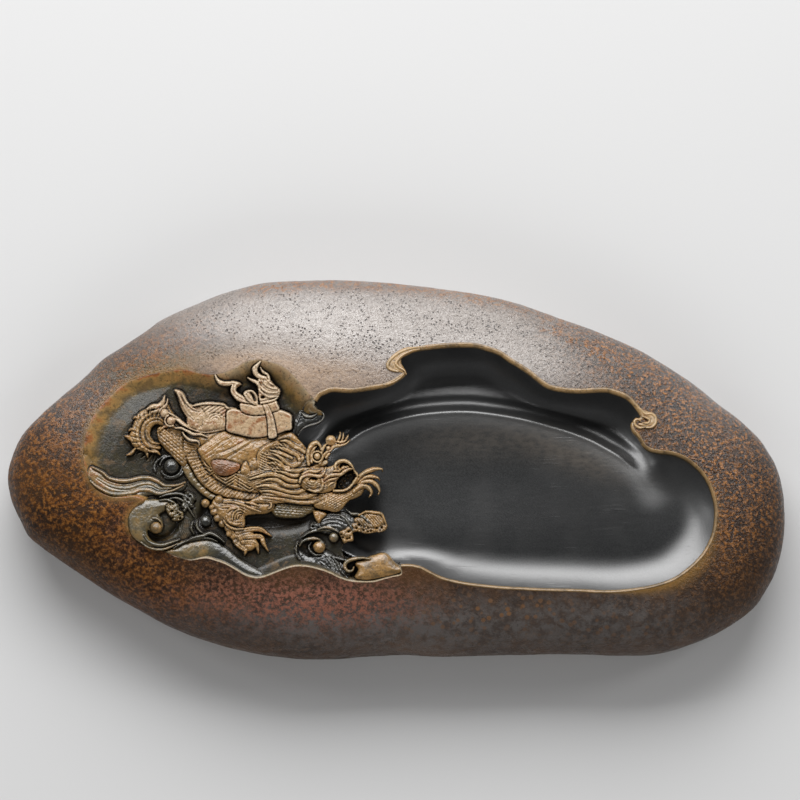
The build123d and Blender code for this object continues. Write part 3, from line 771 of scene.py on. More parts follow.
    def froth(self, name, outline, top, size, strata, seed):
        """A frothy patch, with small round holes and drops between them."""
        self.form(name, outline, top, 3.5, 0.9, strata, 0.3)
        line = curve(outline, closed=True, parts=3)
        low, high = line.min(0), line.max(0)
        columns, rows = ((high - low) / size).astype(int) + 1
        drops = 0
        for row in range(rows):
            for column in range(columns):
                jump = lattice(column, row, seed) - 0.5
                u = low[0] + (column + 0.5 * (row % 2) + 0.5 * jump) * size
                v = low[1] + (row + 0.5 * math.sin(seed + column * 2.1)) * size
                if nearest(line, np.array([u]), np.array([v]), closed=True)[0][0] < 0.3:
                    continue
                drops += 1
                if drops % 2:
                    self.work([(u, v), (u + 0.1, v)], size * 0.28, -1.5, smooth=False, taper=(1, 1))
                else:
                    self.ball(name, u, v, size * 0.36, top + 0.25 + 0.2 * jump, strata, 0.25)


def ring(u, v, radius, start, end, count, to_radius=None, squash=1.0):
    """An arc or a spiral, in pixels, from one angle to another."""
    turns = np.radians(np.linspace(start, end, count))
    radii = np.linspace(radius, radius if to_radius is None else to_radius, count)
    return np.stack([u + radii * np.cos(turns), v + radii * np.sin(turns) * squash], 1)


art = Relief(*CARVED_WINDOW_PX)
UNDER_BELLY_PX = [(1.0, 258, 521, 24, 9, 6), (1.0, 290, 521, 30, 8, -4)]
GAPS_PX = [(1.0, 345, 505, 12, 7, -30), (1.0, 332, 456, 8, 8), (1.0, 205, 512, 6, 12, 30)]
UNDER_BELLY_FROM_PX = 500
GAP_DEPTH = 1.6
FIELD_BELOW_SKIN = 2.4
EDGE_BELOW_SKIN = 0.06
FIELD_ENDS_PX = (LIP_PX[0], (401, 566))
# Corners and columns of the photograph over which the field's edge changes.
SOFT_CORNER_PX = (205, 25, 430, -20)
RIGHT_PX = (200, 30)
LIP_LINE_PX = (150, 40)
# How wide the field's slopes are: along its upper edge, and by the pixel column below.
UPPER_SLOPE = ([0, 0.12, 0.4, 0.7, 1], [17, 18, 17, 14, 16])
LOWER_SLOPE = ([120, 200, 232, 260, 300, 345, 400], [9, 7, 9, 11, 13, 12, 8])
# How the stone's layers show from the edge inward, from the skin at 0 to the dark core at 1.
UPPER_STRATA = ([0, 0.1, 0.25, 0.62, 0.85, 1.25], [0.2, 0.24, 0.36, 0.44, 0.66, 0.95])
SOFT_STRATA = ([0, 0.4, 0.8, 1.2, 1.7], [0.36, 0.4, 0.52, 0.7, 0.98])
LOWER_LEFT_STRATA = ([0, 2.4, 6.4, 12.8, 20.8], [0.22, 0.34, 0.5, 0.6, 0.9])
LOWER_RIGHT_STRATA = ([0, 0.8, 1.6, 2.6, 5], [0.26, 0.4, 0.6, 0.85, 1.0])


def lay_ground():
    """The sunk field, sloping up to the skin round its edge, with gaps cut in under the figure."""
    u, v = art.u, art.v
    edge_d, edge_at, _ = nearest(curve(FIELD_EDGE_PX, parts=3), u, v)
    lower_d = nearest(curve(FIELD_LOWER_PX, parts=3), u, v)[0]
    inside = nearest(field_px, u, v, closed=True)[0]
    skin = skin_under(u, v)
    ground = np.minimum(FIELD_LEVEL, skin - FIELD_BELOW_SKIN)
    upper_wide = np.interp(edge_at, *UPPER_SLOPE)
    soft = toward(u, v, *SOFT_CORNER_PX)
    up = 1 - ease(edge_d / (upper_wide * (1 + 0.5 * soft))) ** (0.8 + 0.1 * soft)
    low = 1 - ease(lower_d / np.interp(u, *LOWER_SLOPE)) ** 0.75
    slope = ground + (skin - EDGE_BELOW_SKIN - ground) * np.maximum(up, low)
    ends = [np.hypot(u - end_u, v - end_v) > 4 for end_u, end_v in FIELD_ENDS_PX]
    tucked = (np.minimum(edge_d, lower_d) < 3.5) & ends[0] & ends[1]
    art.z = np.where(inside > 0, slope, np.where(tucked & (inside > -3), skin - 0.2, FLOOR_LEVEL))
    art.who = np.where((inside > -0.75) | (tucked & (inside > -2.2)), art.number("ground"), 0)
    right = ease((u - RIGHT_PX[0]) / RIGHT_PX[1])
    upper = np.interp(edge_d / upper_wide, *UPPER_STRATA) * (1 - soft)
    upper = upper + np.interp(edge_d / upper_wide, *SOFT_STRATA) * soft
    lower = np.interp(lower_d, *LOWER_LEFT_STRATA) * (1 - right)
    lower = lower + np.interp(lower_d, *LOWER_RIGHT_STRATA) * right
    art.strata = np.minimum(upper, lower) + bumps(u, v, [(0.05, 9.0, 31), (0.04, 4.0, 32)])
    # Lighter along the upper left edge, and a painted highlight along the lower lip line.
    lip_line = np.exp(-((lower_d - 0.9) / 0.75) ** 2) * ease((u - LIP_LINE_PX[0]) / LIP_LINE_PX[1])
    art.light = np.maximum(0.4 * soft * (1 - ease(edge_d / 14)), 0.75 * lip_line)
    # Gaps cut in under the figure, that also get painted shadow in the colour.
    gap = np.clip(spots(u, v, UNDER_BELLY_PX), 0, 1) * (v > UNDER_BELLY_FROM_PX)
    art.gap = np.clip(gap + np.clip(spots(u, v, GAPS_PX), 0, 1), 0, 1)
    art.z -= GAP_DEPTH * art.gap
    art.z += 0.05 * noise(u, v, 9.0, 33) * (inside > 2)


SWELL_PX = trace("""
    92,466 103,472 109,478 125,482 141,478 150,476 157,479 166,485 178,485 187,482 185,489 176,493 164,497
    155,495 146,496 137,503 126,500 112,498 100,491 91,483 88,474
""")
SCROLL_LEFT_PX = trace("""
    133,504 142,500 152,499 165,499.5 173,502 169,508 163,512 160,515 163.5,520 164,527 161,532.5 154,533
    149,530 149,535 153,540 161,543 172,542 180,541 172,546.5 162,549 150,547 140,542 132,534 129,522
    129,512
""")
BANK_PX = trace("""
    166,551 176,547 186,541.5 196,539 207,538 216,540 224,545 233,552 243,560 253,566 262,571 266,575
    257,578 246,576 236,570 226,564 216,559 208,557 200,559 186,559 176,555
""")
FOAM_LEFT_PX = trace("""
    167,506 171,502.5 177,503 180,506 180,510 184,512 184,517 181,520 174,520.5 171,516 167,511
""")
FOAM_UPPER_PX = trace("182,494 189,492 195,495 196,500 193,504 195,507 189,508 185,512 182,506 184,500")
FOAM_RIGHT_PX = trace("""
    351,524 357,522.5 362,526 370,528 378,527 385,524 387.5,527 384,531 376,532 366,533.5 358,531 353,533
    354,540 348,541.5 344,543 341,537 339,532 345,529
""")
FOAM_MIDDLE_PX = trace("310,524 316,521 321,524 323,529 317,531 311,530")
# Strands: the line, its width, its top over the field, and its layer from 0 outside to 1 in the core.
WAVE_LINES = [
    ("wave_swell", [
        ("93,467 103,472 110,478 125,481 141,478 150,478 158,481 166,485.5 178,485 186,482", 2.0, 1.9, 0.4),
        ("91,481 100,488 114,494 132,493 140,490 150,490 157,493 164,493 174,490 184,485", 1.9, 1.8, 0.4),
        ("98,478 112,486 128,488 142,484 152,484 160,488 172,488", 1.6, 1.5, 0.5),
    ]),
    ("wave_scroll_left", [
        ("145,535 149,540.5 156,544 164,544.5 172,542 180,539.5", 1.6, 2.7, 0.72),
        ("142,542 149,547 158,549 166,548.5 175,545 183,541", 1.2, 2.3, 0.5),
        ("153,518 158,518.5 162,522 163.5,527", 1.1, 3.0, 0.5),
        ("160,500 168,499.5 174,502 179,506", 1.3, 2.5, 0.7),
    ]),
    ("wave_bank", [
        ("174,548 184,542 194,539 204,537.5 212,538.5 218,541", 1.3, 2.4, 0.8),
        ("187,541 194,537.5 203,535.5 210,533 215,534.5 220,537.5 225,542", 1.7, 2.9, 0.95),
        ("198,520 197.5,526 201,531 204,533", 1.5, 2.6, 0.97),
        ("194,521 192,528 195,534", 1.1, 2.4, 0.97),
        ("160,497 170,494 180,493.5 188,497 192,502", 1.4, 1.9, 0.95),
        ("166,500 176,497.5 184,501 190,509 195,517", 1.2, 1.6, 1.0),
    ]),
    ("wave_scroll_middle", [
        ("300,545.5 302.5,541.5 307,539 313,538 319,539 324,542.5", 1.6, 3.2, 0.42),
        ("298.5,541 296.5,548 297.5,555 301,560", 1.0, 2.2, 0.6),
        ("303,537 309,532.5 318,530 327,530 333,532", 1.3, 2.6, 0.6),
        ("312,542 309,546 311,551 316,554.5 322,554", 1.2, 2.6, 0.8),
        ("331,556 337,557.5 345,559.5 352,559", 1.3, 2.5, 0.9),
        ("333,557 338,563 341,570 348,577", 1.3, 2.4, 0.97),
        ("327,558 331,563 333,569 340,575", 1.3, 2.2, 0.97),
        ("320,561 325,565 330,571", 1.2, 2.0, 0.97),
    ]),
    ("wave_scroll_right", [
        ("370,558.5 362,557.5 354,558.5 347,561.5 345,566 348,570.5 352.5,570 354,566.5", 1.9, 3.6, 0.42),
    ]),
    ("splash_wave", [
        ("318,529 325,527 332,528 339,532", 1.4, 3.4, 0.5),
        ("341,515 346,519 350,524.5 353,530", 1.5, 3.5, 0.75),
        ("346,509 352,513.5 358,514 364,517 370,523", 1.5, 3.6, 0.7),
    ]),
    ("foam_right", [
        ("359,515 366,511.5 373,512 381,513.5 384,518 387,526", 1.5, 3.7, 0.45),
    ]),
]
TONGUE_CURL_PX = trace("""
    303,405 308,400.5 314,400 315.5,405 318,409.5 323,412.5 324.5,416.5 321.5,421 316,425 308,427
    301.5,431 298,437 294,433 293,424 297,414
""")
# Strokes of the left curl: the line, its width, its top, and the painted highlight along it.
TONGUE_LINES = [
    ("302,412.5 305,415.5 309,416.5 313,416 317,413.5", 1.5, 2.3, 0.7),
    ("309,407 310,410.5 313,412 317,411.5", 1.2, 2.2, 0.6),
    ("303,409 305,404.5 309,401 315,400", 0.9, 1.8, 0.3),
    ("315,405.5 318.5,410.5 323,413 324,416.5 321.5,420.5 316,423.5 309,425.5 302.5,429 298.5,436",
     0.9, 1.9, 0.45),
]
LEAF_PX = trace("""
    357,561 364,559.5 369,556 376,554 383,552 388.5,554 393,559.5 398,564.5 404,567 402,572 392,575.5
    380,578 368,580 357,579 355,575 358,569 355,564
""")
SPLASH_PX = trace("""
    316,524 322,516 331,511.5 342,511 351,514 360,519 364,526 356,531 346,534 334,534 322,532
""")
SPRAY_PX = trace("""
    354,519 360,515 366,511 374,512 382,513 385,518 387,526 381,530 372,531 364,530 357,525
""")
FAN_PX = trace("""
    322,550 330,552 338,558 346,566 352,574 358,580 345,580 330,574 318,569 305,566 298,560 300,550
    310,556
""")
TUFT_PX = trace("314,510 327,513 322,519 319,523 315,518")
TUFT_CUT_PX = "320,512 319,517 317,520"
# Sheaves of raised lines: how many, the first line, and how far each is moved on.
SHEAVES_PX = [
    (12, "166,491 174,496 180,504", "2.2,0.4 2.0,1.6 1.6,2.2"),
    (12, "183,515 180,527 184,538", "1.5,0.8 2.0,0.6 2.3,-0.2"),
    (9, "324,552 330,560 334,572", "2.2,0.4 2.0,0.7 2.2,0.9"),
]
FAN_MIDDLE_PX = (333, 541)
SWELL_DARKENS_PX = (112, 60)
BANK_DARKENS_PX = (205, 16)
# Arcs: the middle, the radius, the two angles, how many points, the last radius and the squash. Then
# the strand's width, top and layer.
PEARL_RIPPLES = [
    ((170.5, 467, 15.5, -200, 110, 30, 13.5, 0.78), 1.3, 1.4, 0.95),
    ((171.5, 466.5, 11.2, -170, 150, 26, 10.6, 0.95), 1.0, 1.6, 0.97),
]
LEFT_HOLLOW_PX = "150.5,529 152,534.5 158,537.5 166,537 173,532 178,524 180,516"
LEAF_HOLLOW_PX = "347.5,574 352,574.5 356,572 357,567"
KNOBS = [
    ("scroll_knobs", 157, 527, 5.8, 3.4, 0.5), ("scroll_knobs", 319.5, 546.5, 6.2, 3.6, 0.45),
    ("wave_pearls", 172, 466, 7.6, 3.2, 0.97), ("wave_pearls", 206.5, 520.5, 5.4, 2.8, 0.97),
    ("wave_pearls", 334, 537, 4.8, 3.6, 0.5),
]


def lay_left_curl():
    """The lip's left curl, that runs down into the field."""
    art.form("lip_curl_left", TONGUE_CURL_PX, 1.5, 7, 1.6, 1.0, 0.1)
    for line, width, top, light in TONGUE_LINES:
        art.strand("lip_curl_left", line, width, top, strata=0.97, taper=(0.3, 0.3), trench=0.45)
        # Painted highlights along the curl's strokes.
        art.work(line, width * 0.7, 0.02, light)


def lay_swells():
    """The broad waves under everything else, and the fan of arcs in the middle one."""
    art.form("wave_swell", SWELL_PX, 1.5, 9, 1.1, 0.78, 0.2)
    art.form("wave_scroll_left", SCROLL_LEFT_PX, 2.3, 9, 1.5, 0.55, 0.2)
    art.form("wave_bank", BANK_PX, 2.0, 9, 1.3, 0.5, 0.2)
    swell, bank = [ease((art.u - u) / over) for u, over in (SWELL_DARKENS_PX, BANK_DARKENS_PX)]
    art.strata = np.where(art.owned("wave_swell"), 0.34 + 0.5 * swell, art.strata)
    art.strata += 0.45 * bank * art.owned("wave_bank")
    art.form("wave_scroll_middle", FAN_PX, 1.9, 9, 1.3, 0.97, 0.3)
    art.form("splash_wave", SPLASH_PX, 3.1, 10, 2.0, 1.0, 0.4)
    for k in range(13):
        line = ring(*FAN_MIDDLE_PX, 10 + 1.9 * k, 215 + 4 * k, 300 + 1.5 * k, 12)
        art.work(line, 0.5, *((0.26, 0.25) if k % 2 else (-0.4, 0.0)))


def lay_spray():
    """The right crest with its spray, the sheaves of fine lines, and the froth."""
    art.form("foam_right", SPRAY_PX, 3.5, 5, 1.3, 0.5, 0.4)
    art.hatch(SPRAY_PX, 2.1, 50, 0.4)
    art.form("wave_crest_right", LEAF_PX, 3.6, 9, 1.9, 0.45, 0.5)
    art.form("spray_tuft", TUFT_PX, 3.2, 3, 0.8, 0.42)
    art.work(TUFT_CUT_PX, 0.6, -0.3)
    for count, first, step in SHEAVES_PX:
        for k in range(count):
            # Each line with a faint painted highlight.
            art.work(trace(first) + k * trace(step), 0.5, 0.3, 0.15)
    art.froth("foam_left", FOAM_LEFT_PX, 2.9, 3.4, 0.5, 3)
    art.froth("foam_left", FOAM_UPPER_PX, 2.0, 3.6, 0.92, 5)
    art.froth("foam_right", FOAM_RIGHT_PX, 3.5, 3.5, 0.46, 7)
    art.froth("splash_wave", FOAM_MIDDLE_PX, 2.6, 3.4, 0.9, 9)


def lay_wave_lines():
    """The waves' rolled edges, the hollows in the scrolls, and the pearls with their ripples."""
    art.strands(WAVE_LINES, taper=(0.45, 0.45))
    art.work(LEFT_HOLLOW_PX, 3.0, -1.5)
    art.work(LEAF_HOLLOW_PX, 1.6, -1.6, taper=(0.6, 0.6))
    for arc, width, top, strata in PEARL_RIPPLES:
        art.strand("pearl_ripple", ring(*arc), width, top, strata=strata)
    art.balls(KNOBS)


SHELL_PX = trace("""
    187,440 188,430 196,425 215,424 240,422 262,424 284,430 296,442 302,456 300,472 292,486 280,493
    268,496 255,497 240,495 225,490 214,483 205,473 198,460 192,449
""")
RIM_OUTER_PX = trace("""
    184,440 186,455 192,468 199,480 211,491 225,497 240,500.5 260,501 280,498 292,491 286,484 270,491
    258,493 240,490 226,485 216,478 207,469 201,458 198,447 192,438
""")
RIM_LINE_PX = trace("189,440 192,454 198,466 206,476 216,485 228,491.5 242,495.5 260,497 278,494.5")
RIM_INNER_PX = trace("197,446 200,457 206,468 215,478 226,485.5 240,490.5 258,493 272,491")
SKIRT_PX = trace("""
    182,455 182,466 187,477 195,487 204,495 212,500 222,503 230,501 212,492 200,481 192,469 187,458
""")
BELLY_PX = trace("""
    262,500 280,499 296,498 312,500 318,508 308,514 303,517 290,518 276,516 270,510 258,506
""")
TAIL_BASE_PX = trace("""
    158,428 168,425 177,428 185,434 189,443 190,455 188,462 184,466 178,462 171,454 164,447 159,440
""")
TAIL_MASS_PX = trace("""
    133,427 136,418 140,412 146,409 152,404 158,405 163,407 168,403 171,409 178,418 184,426 186,434
    176,436 168,430 158,424 152,428 151,436 156,442 162,448 150,452 140,450 133,445 130,436
""")
TAIL_STRANDS = [
    ("tail_coil", [
        ("160,448 150,446.5 144.5,440 143,431 146,423 153,418.5 160,418.5 166,423", 1.9, 3.3, 0.42),
        ("160,443.5 152,442 148,437 146.5,430", 1.3, 3.2, 0.42),
        ("159,452 149,450.5 141,445 138,436 139,426 144,418 152,413.5 161,412", 1.9, 3.4, 0.42),
        ("136,448 132,453 127.5,455", 1.6, 2.6, 0.42),
        ("143,449 147,452 148.5,457.5", 1.5, 2.6, 0.42),
        ("133,441 129,437 125.5,436", 1.9, 2.6, 0.4),
        ("136,430 132,429 129,431", 1.3, 2.8, 0.42),
        ("139,419 136,417 133.5,419", 1.2, 2.8, 0.42),
        ("152,449 157,451 161,455", 1.4, 2.8, 0.42),
    ]),
    ("tail_tip", [
        ("148,409 153,406.5 159,406 163.5,402 165,396", 2.6, 3.9, 0.36),
        ("152,412 158,410.5 163,408.5 167,404 168,399", 1.7, 4.0, 0.36),
        ("163,410 175,416 186,425 194,429 205,432 215,430", 1.5, 4.5, 0.36),
        ("176,428 182,428 188,431 194,434 201,434 208,437", 1.5, 4.6, 0.36),
        ("183,432 186,436.5 191,440 198,441 200,445", 1.4, 4.6, 0.4),
        ("173,418 178,420 183,424 189,428", 1.3, 4.6, 0.36),
    ]),
    ("tail_coil", [
        ("160,431 164,427 170,425.5 177,428", 1.5, 3.4, 0.4),
    ]),
]
TAIL_BEADS = [("tail_tip", 165, 413, 4.3, 4.6, 0.36), ("tail_tip", 171.5, 420.5, 4.7, 4.7, 0.36)]
TAIL_RING = (171, 420.5, 5.6, 60, 250, 14)
TAIL_MIDDLE_PX = (155.5, 434.5)
TAIL_HAIR_PX = (12.5, 17, 21, 25)
THIGH_PX = trace("""
    216,498 228,498 245,500 262,500 274,500 275,507 268,513 256,514 246,516 246,524 242,532 232,531
    224,527 218,520 213,512 212,504
""")
FOOT_PX = trace("""
    224,524 234,526 244,528 252,530 256,536 258,544 252,550 244,550 238,546 233,540 228,534
""")
HIND_CLAWS = [
    "238,532 250,529 260,529 266,532 272,536",
    "246,537 256,536 262,537 264,543 269,551",
    "244,542 252,542 257,544 259,553",
    "237,543 242,547 246,550 245,555",
]
FORELEG_PX = trace("""
    318,492 326,490 334,491 341,491.5 347,490 352,486 355,480 359,477 364,479 365,487 362,494 357,497.5
    350,500 346,504 341,510 334,512 327,510 320,509 314,506 314,499
""")
FORELEG_SCALES_PX = trace("""
    318,493 334,492 346,491 353,486 360,480 363,488 356,497 346,502 339,510 328,509 318,504
""")
FORELEG_EDGE_PX = "334,490.5 342,490.5 348,488.5 353,483.5 357,477.5"
HIND_LUMPS = [
    (206, 503, 4.2, 3.3), (219.5, 499.5, 4.4, 3.9), (214.5, 511.5, 3.8, 3.4), (217.5, 518, 3.4, 3.4),
    (222.5, 523.5, 3.2, 3.3), (229.5, 533.5, 3.0, 3.2), (236, 541, 2.8, 3.1), (212, 507, 2.6, 3.2),
]
HIND_FOLDS = [
    "224,502 234,502 244,505 254,509 262,512",
    "222,507 231,506.5 240,509 247,513",
    "228,512 231,508.5 237,508.5",
    "246,502 254,503.5 260,506",
    "227,516 229,521 236,524 243,523",
    "224,520 229,526 237,529 245,528",
]
HIND_HAIR_PX = "222,516 232,521 243,522 245,534 252,546 244,550 232,540 226,528"
HIND_FLOW_PX = "226,518 234,530 243,546"
KNEE_PX = (241, 517.5)
HAUNCH_CURL = (268, 505.5, 4.6, 270, 440, 14, 3.0)
MOUTH_PX = trace("334,490 336,484 339,479 343,475 348,471.5 354,469.5 358,474 357,480 352,486 346,490")
PIMPLES_PX = trace("341,484 345,481 348,478 343,487 351,474 346,475 339,487 354,473")
FORE_CLAWS = [
    "355,482 361,476 366,472 371,470 376,468.5 382,469 382.5,471",
    "359,484 364,478.5 369,476.5 374,476.5 378.5,478 379.5,480",
    "358,487 365,481.5 371,481 375,483.5 378,487 379.5,491 378,494.5",
    "354,491 361,486 366,486 370,489 371.5,493 369,497",
]
# Rows of plates on the shell: the middle, half the width, the lowest point and how many rows.
PLATE_PX = [(250, 17, 479, 5), (226, 10, 480, 3), (272, 9, 482, 3), (211, 7, 468, 3)]
SEAMS_PX = ["239,474 238.5,490", "262,474 261.5,490"]
RIBS = 34
# Short cuts on the shell's left edge: where they start, and how far the row runs.
EDGE_CUT_PX = (184, 459)
EDGE_ROW_PX = (28, 42)


def lay_plates():
    """Ribs round the rim, rows of angled plates over the dome, and cuts on the left edge."""
    inner = curve(RIM_INNER_PX, parts=8)
    outer = curve(RIM_LINE_PX, parts=8) + (-3.4, 3.0)
    for k in range(RIBS):
        ends = [line[int((k + 0.5) / RIBS * (len(line) - 1))] for line in (inner, outer)]
        art.work(ends, 0.75, -0.42, taper=(0.7, 0.7))
    art.work(RIM_LINE_PX, 0.6, 0.28)
    art.work(RIM_INNER_PX, 0.9, -0.6)
    art.work(RIM_INNER_PX + (1.6, -1.8), 0.8, 0.35)
    for middle, half, lowest, rows in PLATE_PX:
        for k in range(rows):
            wide, foot = half - 1.2 * k, lowest + 3.1 * k
            top = foot - 0.62 * wide
            line = trace([(middle - wide, top), (middle, foot), (middle + wide, top)])
            # Each plate's raised edge with a painted highlight.
            art.work(line, 0.62, 0.4, 0.3, smooth=False, taper=(0.8, 0.8))
            art.work(line + (0, 1.5), 0.6, -0.5, smooth=False, taper=(0.8, 0.8))
    for seam in SEAMS_PX:
        art.work(seam, 0.6, -0.4)
    for t in np.linspace(0, 1, 9):
        u, v = EDGE_CUT_PX[0] + EDGE_ROW_PX[0] * t, EDGE_CUT_PX[1] + EDGE_ROW_PX[1] * t ** 0.8
        art.work([(u, v), (u + 8, v - 8)], 0.6, -0.35, taper=(0.6, 0.6))


def lay_leg():
    """The hind leg, with lumps, folds, a curled knee and claws."""
    art.form("hind_thigh", THIGH_PX, 3.7, 10, 2.0, 0.45, 0.5)
    art.form("hind_foot", FOOT_PX, 3.3, 7, 1.5, 0.42, 0.4)
    for claw in map(trace, HIND_CLAWS):
        art.strand("hind_claws", claw, 2.5, 3.5, strata=0.38, taper=(1.0, 0.2), end_top=2.5)
        art.work(claw[:-1], 0.5, -0.3)
        # A painted highlight line above each claw.
        art.work(claw[:-1] - (0, 1.3), 0.45, 0.2, 0.5)
    for lump in HIND_LUMPS:
        art.ball("hind_thigh", *lump, 0.42)
    for line in HIND_FOLDS:
        art.strand("hind_thigh", line, 1.35, 4.0, strata=0.4, taper=(0.5, 0.3), trench=0.35)
    for radius in (3.2, 5.6, 8.0):
        line = ring(*KNEE_PX, radius, 165, 285, 12)
        art.strand("hind_thigh", line, 1.15, 4.2, strata=0.4, taper=(0.6, 0.4), trench=0.4)
    art.strand("hind_thigh", ring(*HAUNCH_CURL), 1.2, 4.1, strata=0.4, taper=(0.6, 0.5), trench=0.35)
    art.hair(HIND_HAIR_PX, [HIND_FLOW_PX], 2.0, 0.3)


def lay_foreleg():
    """The dark open mouth with its pimples, and the foreleg that reaches out below it."""
    art.form("dragon_head", MOUTH_PX, 1.2, 3, 0.6, 1.0, 0.0)
    for u, v in PIMPLES_PX:
        art.ball("dragon_head", u, v, 1.1, 2.6, 0.7, 0.1)
    art.form("foreleg", FORELEG_PX, 4.7, 9, 2.0, 0.4, 0.5)
    art.scales(FORELEG_SCALES_PX, 3.4, 0.4, -30)
    claws = [trace(claw) for claw in FORE_CLAWS]
    for claw in claws:
        art.strand("fore_claws", claw, 2.6, 4.9, strata=0.38, taper=(1.0, 0.22), end_top=4.1)
        art.strand("fore_claws", claw[:-1], 1.6, 5.2, strata=0.36, taper=(1.0, 0.5), end_top=4.6)
    art.strand("foreleg", FORELEG_EDGE_PX, 1.3, 5.2, strata=0.34)
    for claw in claws:
        above, below = claw[:-1] - (0, 2.2), claw[-2::-1] + (0, 2.2)
        art.hatch(np.vstack([above, below]), 1.7, 60, 0.22)


def lay_tail():
    """The coiled tail, with hair that fans out from its middle, and two beads."""
    art.strands(TAIL_STRANDS, taper=(0.5, 0.35))
    middle_u, middle_v = TAIL_MIDDLE_PX
    radii = np.array(TAIL_HAIR_PX)
    for k in range(30):
        swirl = 16 if k % 2 else 9
        angles = np.radians(88 + k * 6.6 + swirl * (radii - 12) / 12)
        hair = np.stack([middle_u + radii * np.cos(angles), middle_v + 1.12 * radii * np.sin(angles)], 1)
        art.work(hair, 0.55, -0.42)
        # A raised line with a painted highlight beside each cut.
        art.work(hair[1:] + (1.0, 0.9), 0.5, 0.22, 0.3)
    art.balls(TAIL_BEADS)
    art.strand("tail_tip", ring(*TAIL_RING), 0.9, 4.3, strata=0.36)


def lay_body():
    """The dragon-turtle's body: belly, shell, legs and tail."""
    art.form("turtle_belly", BELLY_PX, 2.4, 6, 1.4, 0.55, 0.5)
    art.scales(BELLY_PX, 4.4, 0.35, 5)
    art.form("shell_skirt", SKIRT_PX, 1.9, 4, 0.8, 0.5, 0.3)
    art.form("tail_base", TAIL_BASE_PX, 3.2, 10, 1.6, 0.45)
    art.scales(TAIL_BASE_PX, 4.6, 0.42, 40)
    art.form("tail_coil", TAIL_MASS_PX, 2.9, 7, 1.4, 0.42, 0.4)
    art.form("shell_rim", RIM_OUTER_PX, 2.9, 5, 0.9, 0.45, 0.5)
    art.form("turtle_shell", SHELL_PX, 4.3, 40, 2.6, 0.45, 0.3, lean=(0.008, -0.012))
    lay_plates()
    lay_leg()
    lay_foreleg()
    lay_tail()


CLOTH_PX = trace("""
    199,448 210,440 223,431 236,434 250,438 262,440 276,437 284,434 291,432 298,438 305,446 307,452
    290,456 275,454 262,458 252,462 240,470 228,476 216,474 210,466 203,458 199,452
""")
CUSHION_PX = trace("212,461 222,459 235,462 241,465 238,471 228,475.5 218,474 213,468")
TONGUE_CLOTH_PX = trace("""
    241,472 243,464 247,461 250,468 253,474 258,468 257,456 263,447 277,440 281,446 270,452 266,462
    262,473 254,479 246,477
""")
CLOTH_CUTS = [
    ("216,454 232,448 249,438", 0.8, -0.4),
    ("218,457 235,450 251,440", 0.6, 0.3, 0.3),
    ("222,461 237,452 253,442", 0.8, -0.4),
    ("202,456 212,450 224,441 236,436", 0.6, -0.25),
    ("206,458 216,452", 0.7, -0.3),
]
CLOTH_WEAVE_PX = "203,448 223,433 244,438 216,451 206,455"
TONGUE_CLOTH_CUT_PX = "247,465 250,472 254,476 259,471 261,460 268,448"
CUSHION_WEAVE_PX = "214,461 236,463 238,470 228,474 217,472"
BUNDLE_PX = trace("""
    190,412 193,405 205,402 215,402 226,404 229,413 228,428 220,431 210,433 200,433 190,428 187,420
""")
BUNDLE_FOLDS_PX = "204,404 227,406 228,418 214,414 203,412"
BUNDLE_PLEATS_PX = "190,414 202,412 205,424 200,428 191,424"
BUNDLE_SEAM_PX = "190,427 202,431 214,430 227,427"
BUNDLE_MIDDLE_PX = (216, 421)
CASKET_PX = trace("""
    227,412 231,409 237,409 243,411 250,413 262,413 273,410 279,409.5 286,411.5 292,415 292,422 292,429
    285,431 277,434 267,436 258,437.5 248,436.5 238,434 227,430.5 227,421
""")
CASKET_CORNER_PX = "284,412 285,421 285,430"
LID_PX = trace("""
    240.5,403 248,403.5 256,404.5 266,403 276,400 278,404 280,409 274,411.5 266,414 258,415 250,414.5
    243,412 240.5,408.5
""")
STRAP_PX = trace("""
    263,404.5 266.5,403.5 270.5,409 274,418 276,428 277,436.5 269,438 268.5,428 267,417 265,410
""")
STRAP_CUTS = [
    ("266,405 269.5,412 272,424 273,436", 0.6, -0.4), ("264,407 267.5,417 269.5,428 270,437", 0.4, -0.15),
]
LOOP_LEFT_PX = trace("""
    233,383 237,382.5 242,384 238,387 236.5,390 239,393 244,396 249,400 253,404 244,403 238,401 234,397
    231,392 231.5,386
""")
LOOP_MIDDLE_PX = trace("""
    243.5,393 247.5,390 252,390.5 256,395 258.5,401 258,405 254,405 249.5,401 246,397
""")
LOOP_RIGHT_PX = trace("""
    259.5,401 258.5,393 260,386 257.5,380 262,377 268,376 271,380 275,385 279.5,388.5 280.5,392.5 278,398
    274,401 267,403 261,404.5
""")
RIBBON_STRANDS = [
    ("ribbon_knot", [
        ("233,385 232,391 236,397 243,401 251,403", 1.3, 5.4),
        ("244.5,394 249,400 255,404.5", 1.1, 5.6),
        ("248,391 253,391.5 257,397 258,403", 1.2, 5.7),
        ("260,390 264,394 270,397 278,396", 1.2, 5.7),
        ("259,384 263,389 270,392.5 279,392", 1.2, 5.7),
        ("262,380 266,385 272,388 278,389", 1.1, 5.7),
        ("266,378 270,382.5 275,385.5", 1.0, 5.6),
        ("261,403 268,401.5 275,399.5 279,396", 1.3, 5.5),
    ]),
    ("ribbon_tails", [
        ("239,384 234,383 228,383.5 222,383 218,380 215.5,375", 2.3, 4.8),
        ("266,378 260,376.5 256,373 255,368.5 257.5,365 260.5,361.5", 2.6, 5.0),
        ("260,391 259.5,386 256.5,382 252,380 248,377.5", 1.8, 5.1),
        ("270,381 268,375 263,371.5 260.5,367", 1.3, 5.2),
    ]),
]
FLAME_PX = trace("""
    174.5,389.5 178,396 180,403 182.5,410 187,417 191,427 200,428 206,418 202,408 195,405.5 190,403.5
    187,400 185.5,395 181,390.5
""")
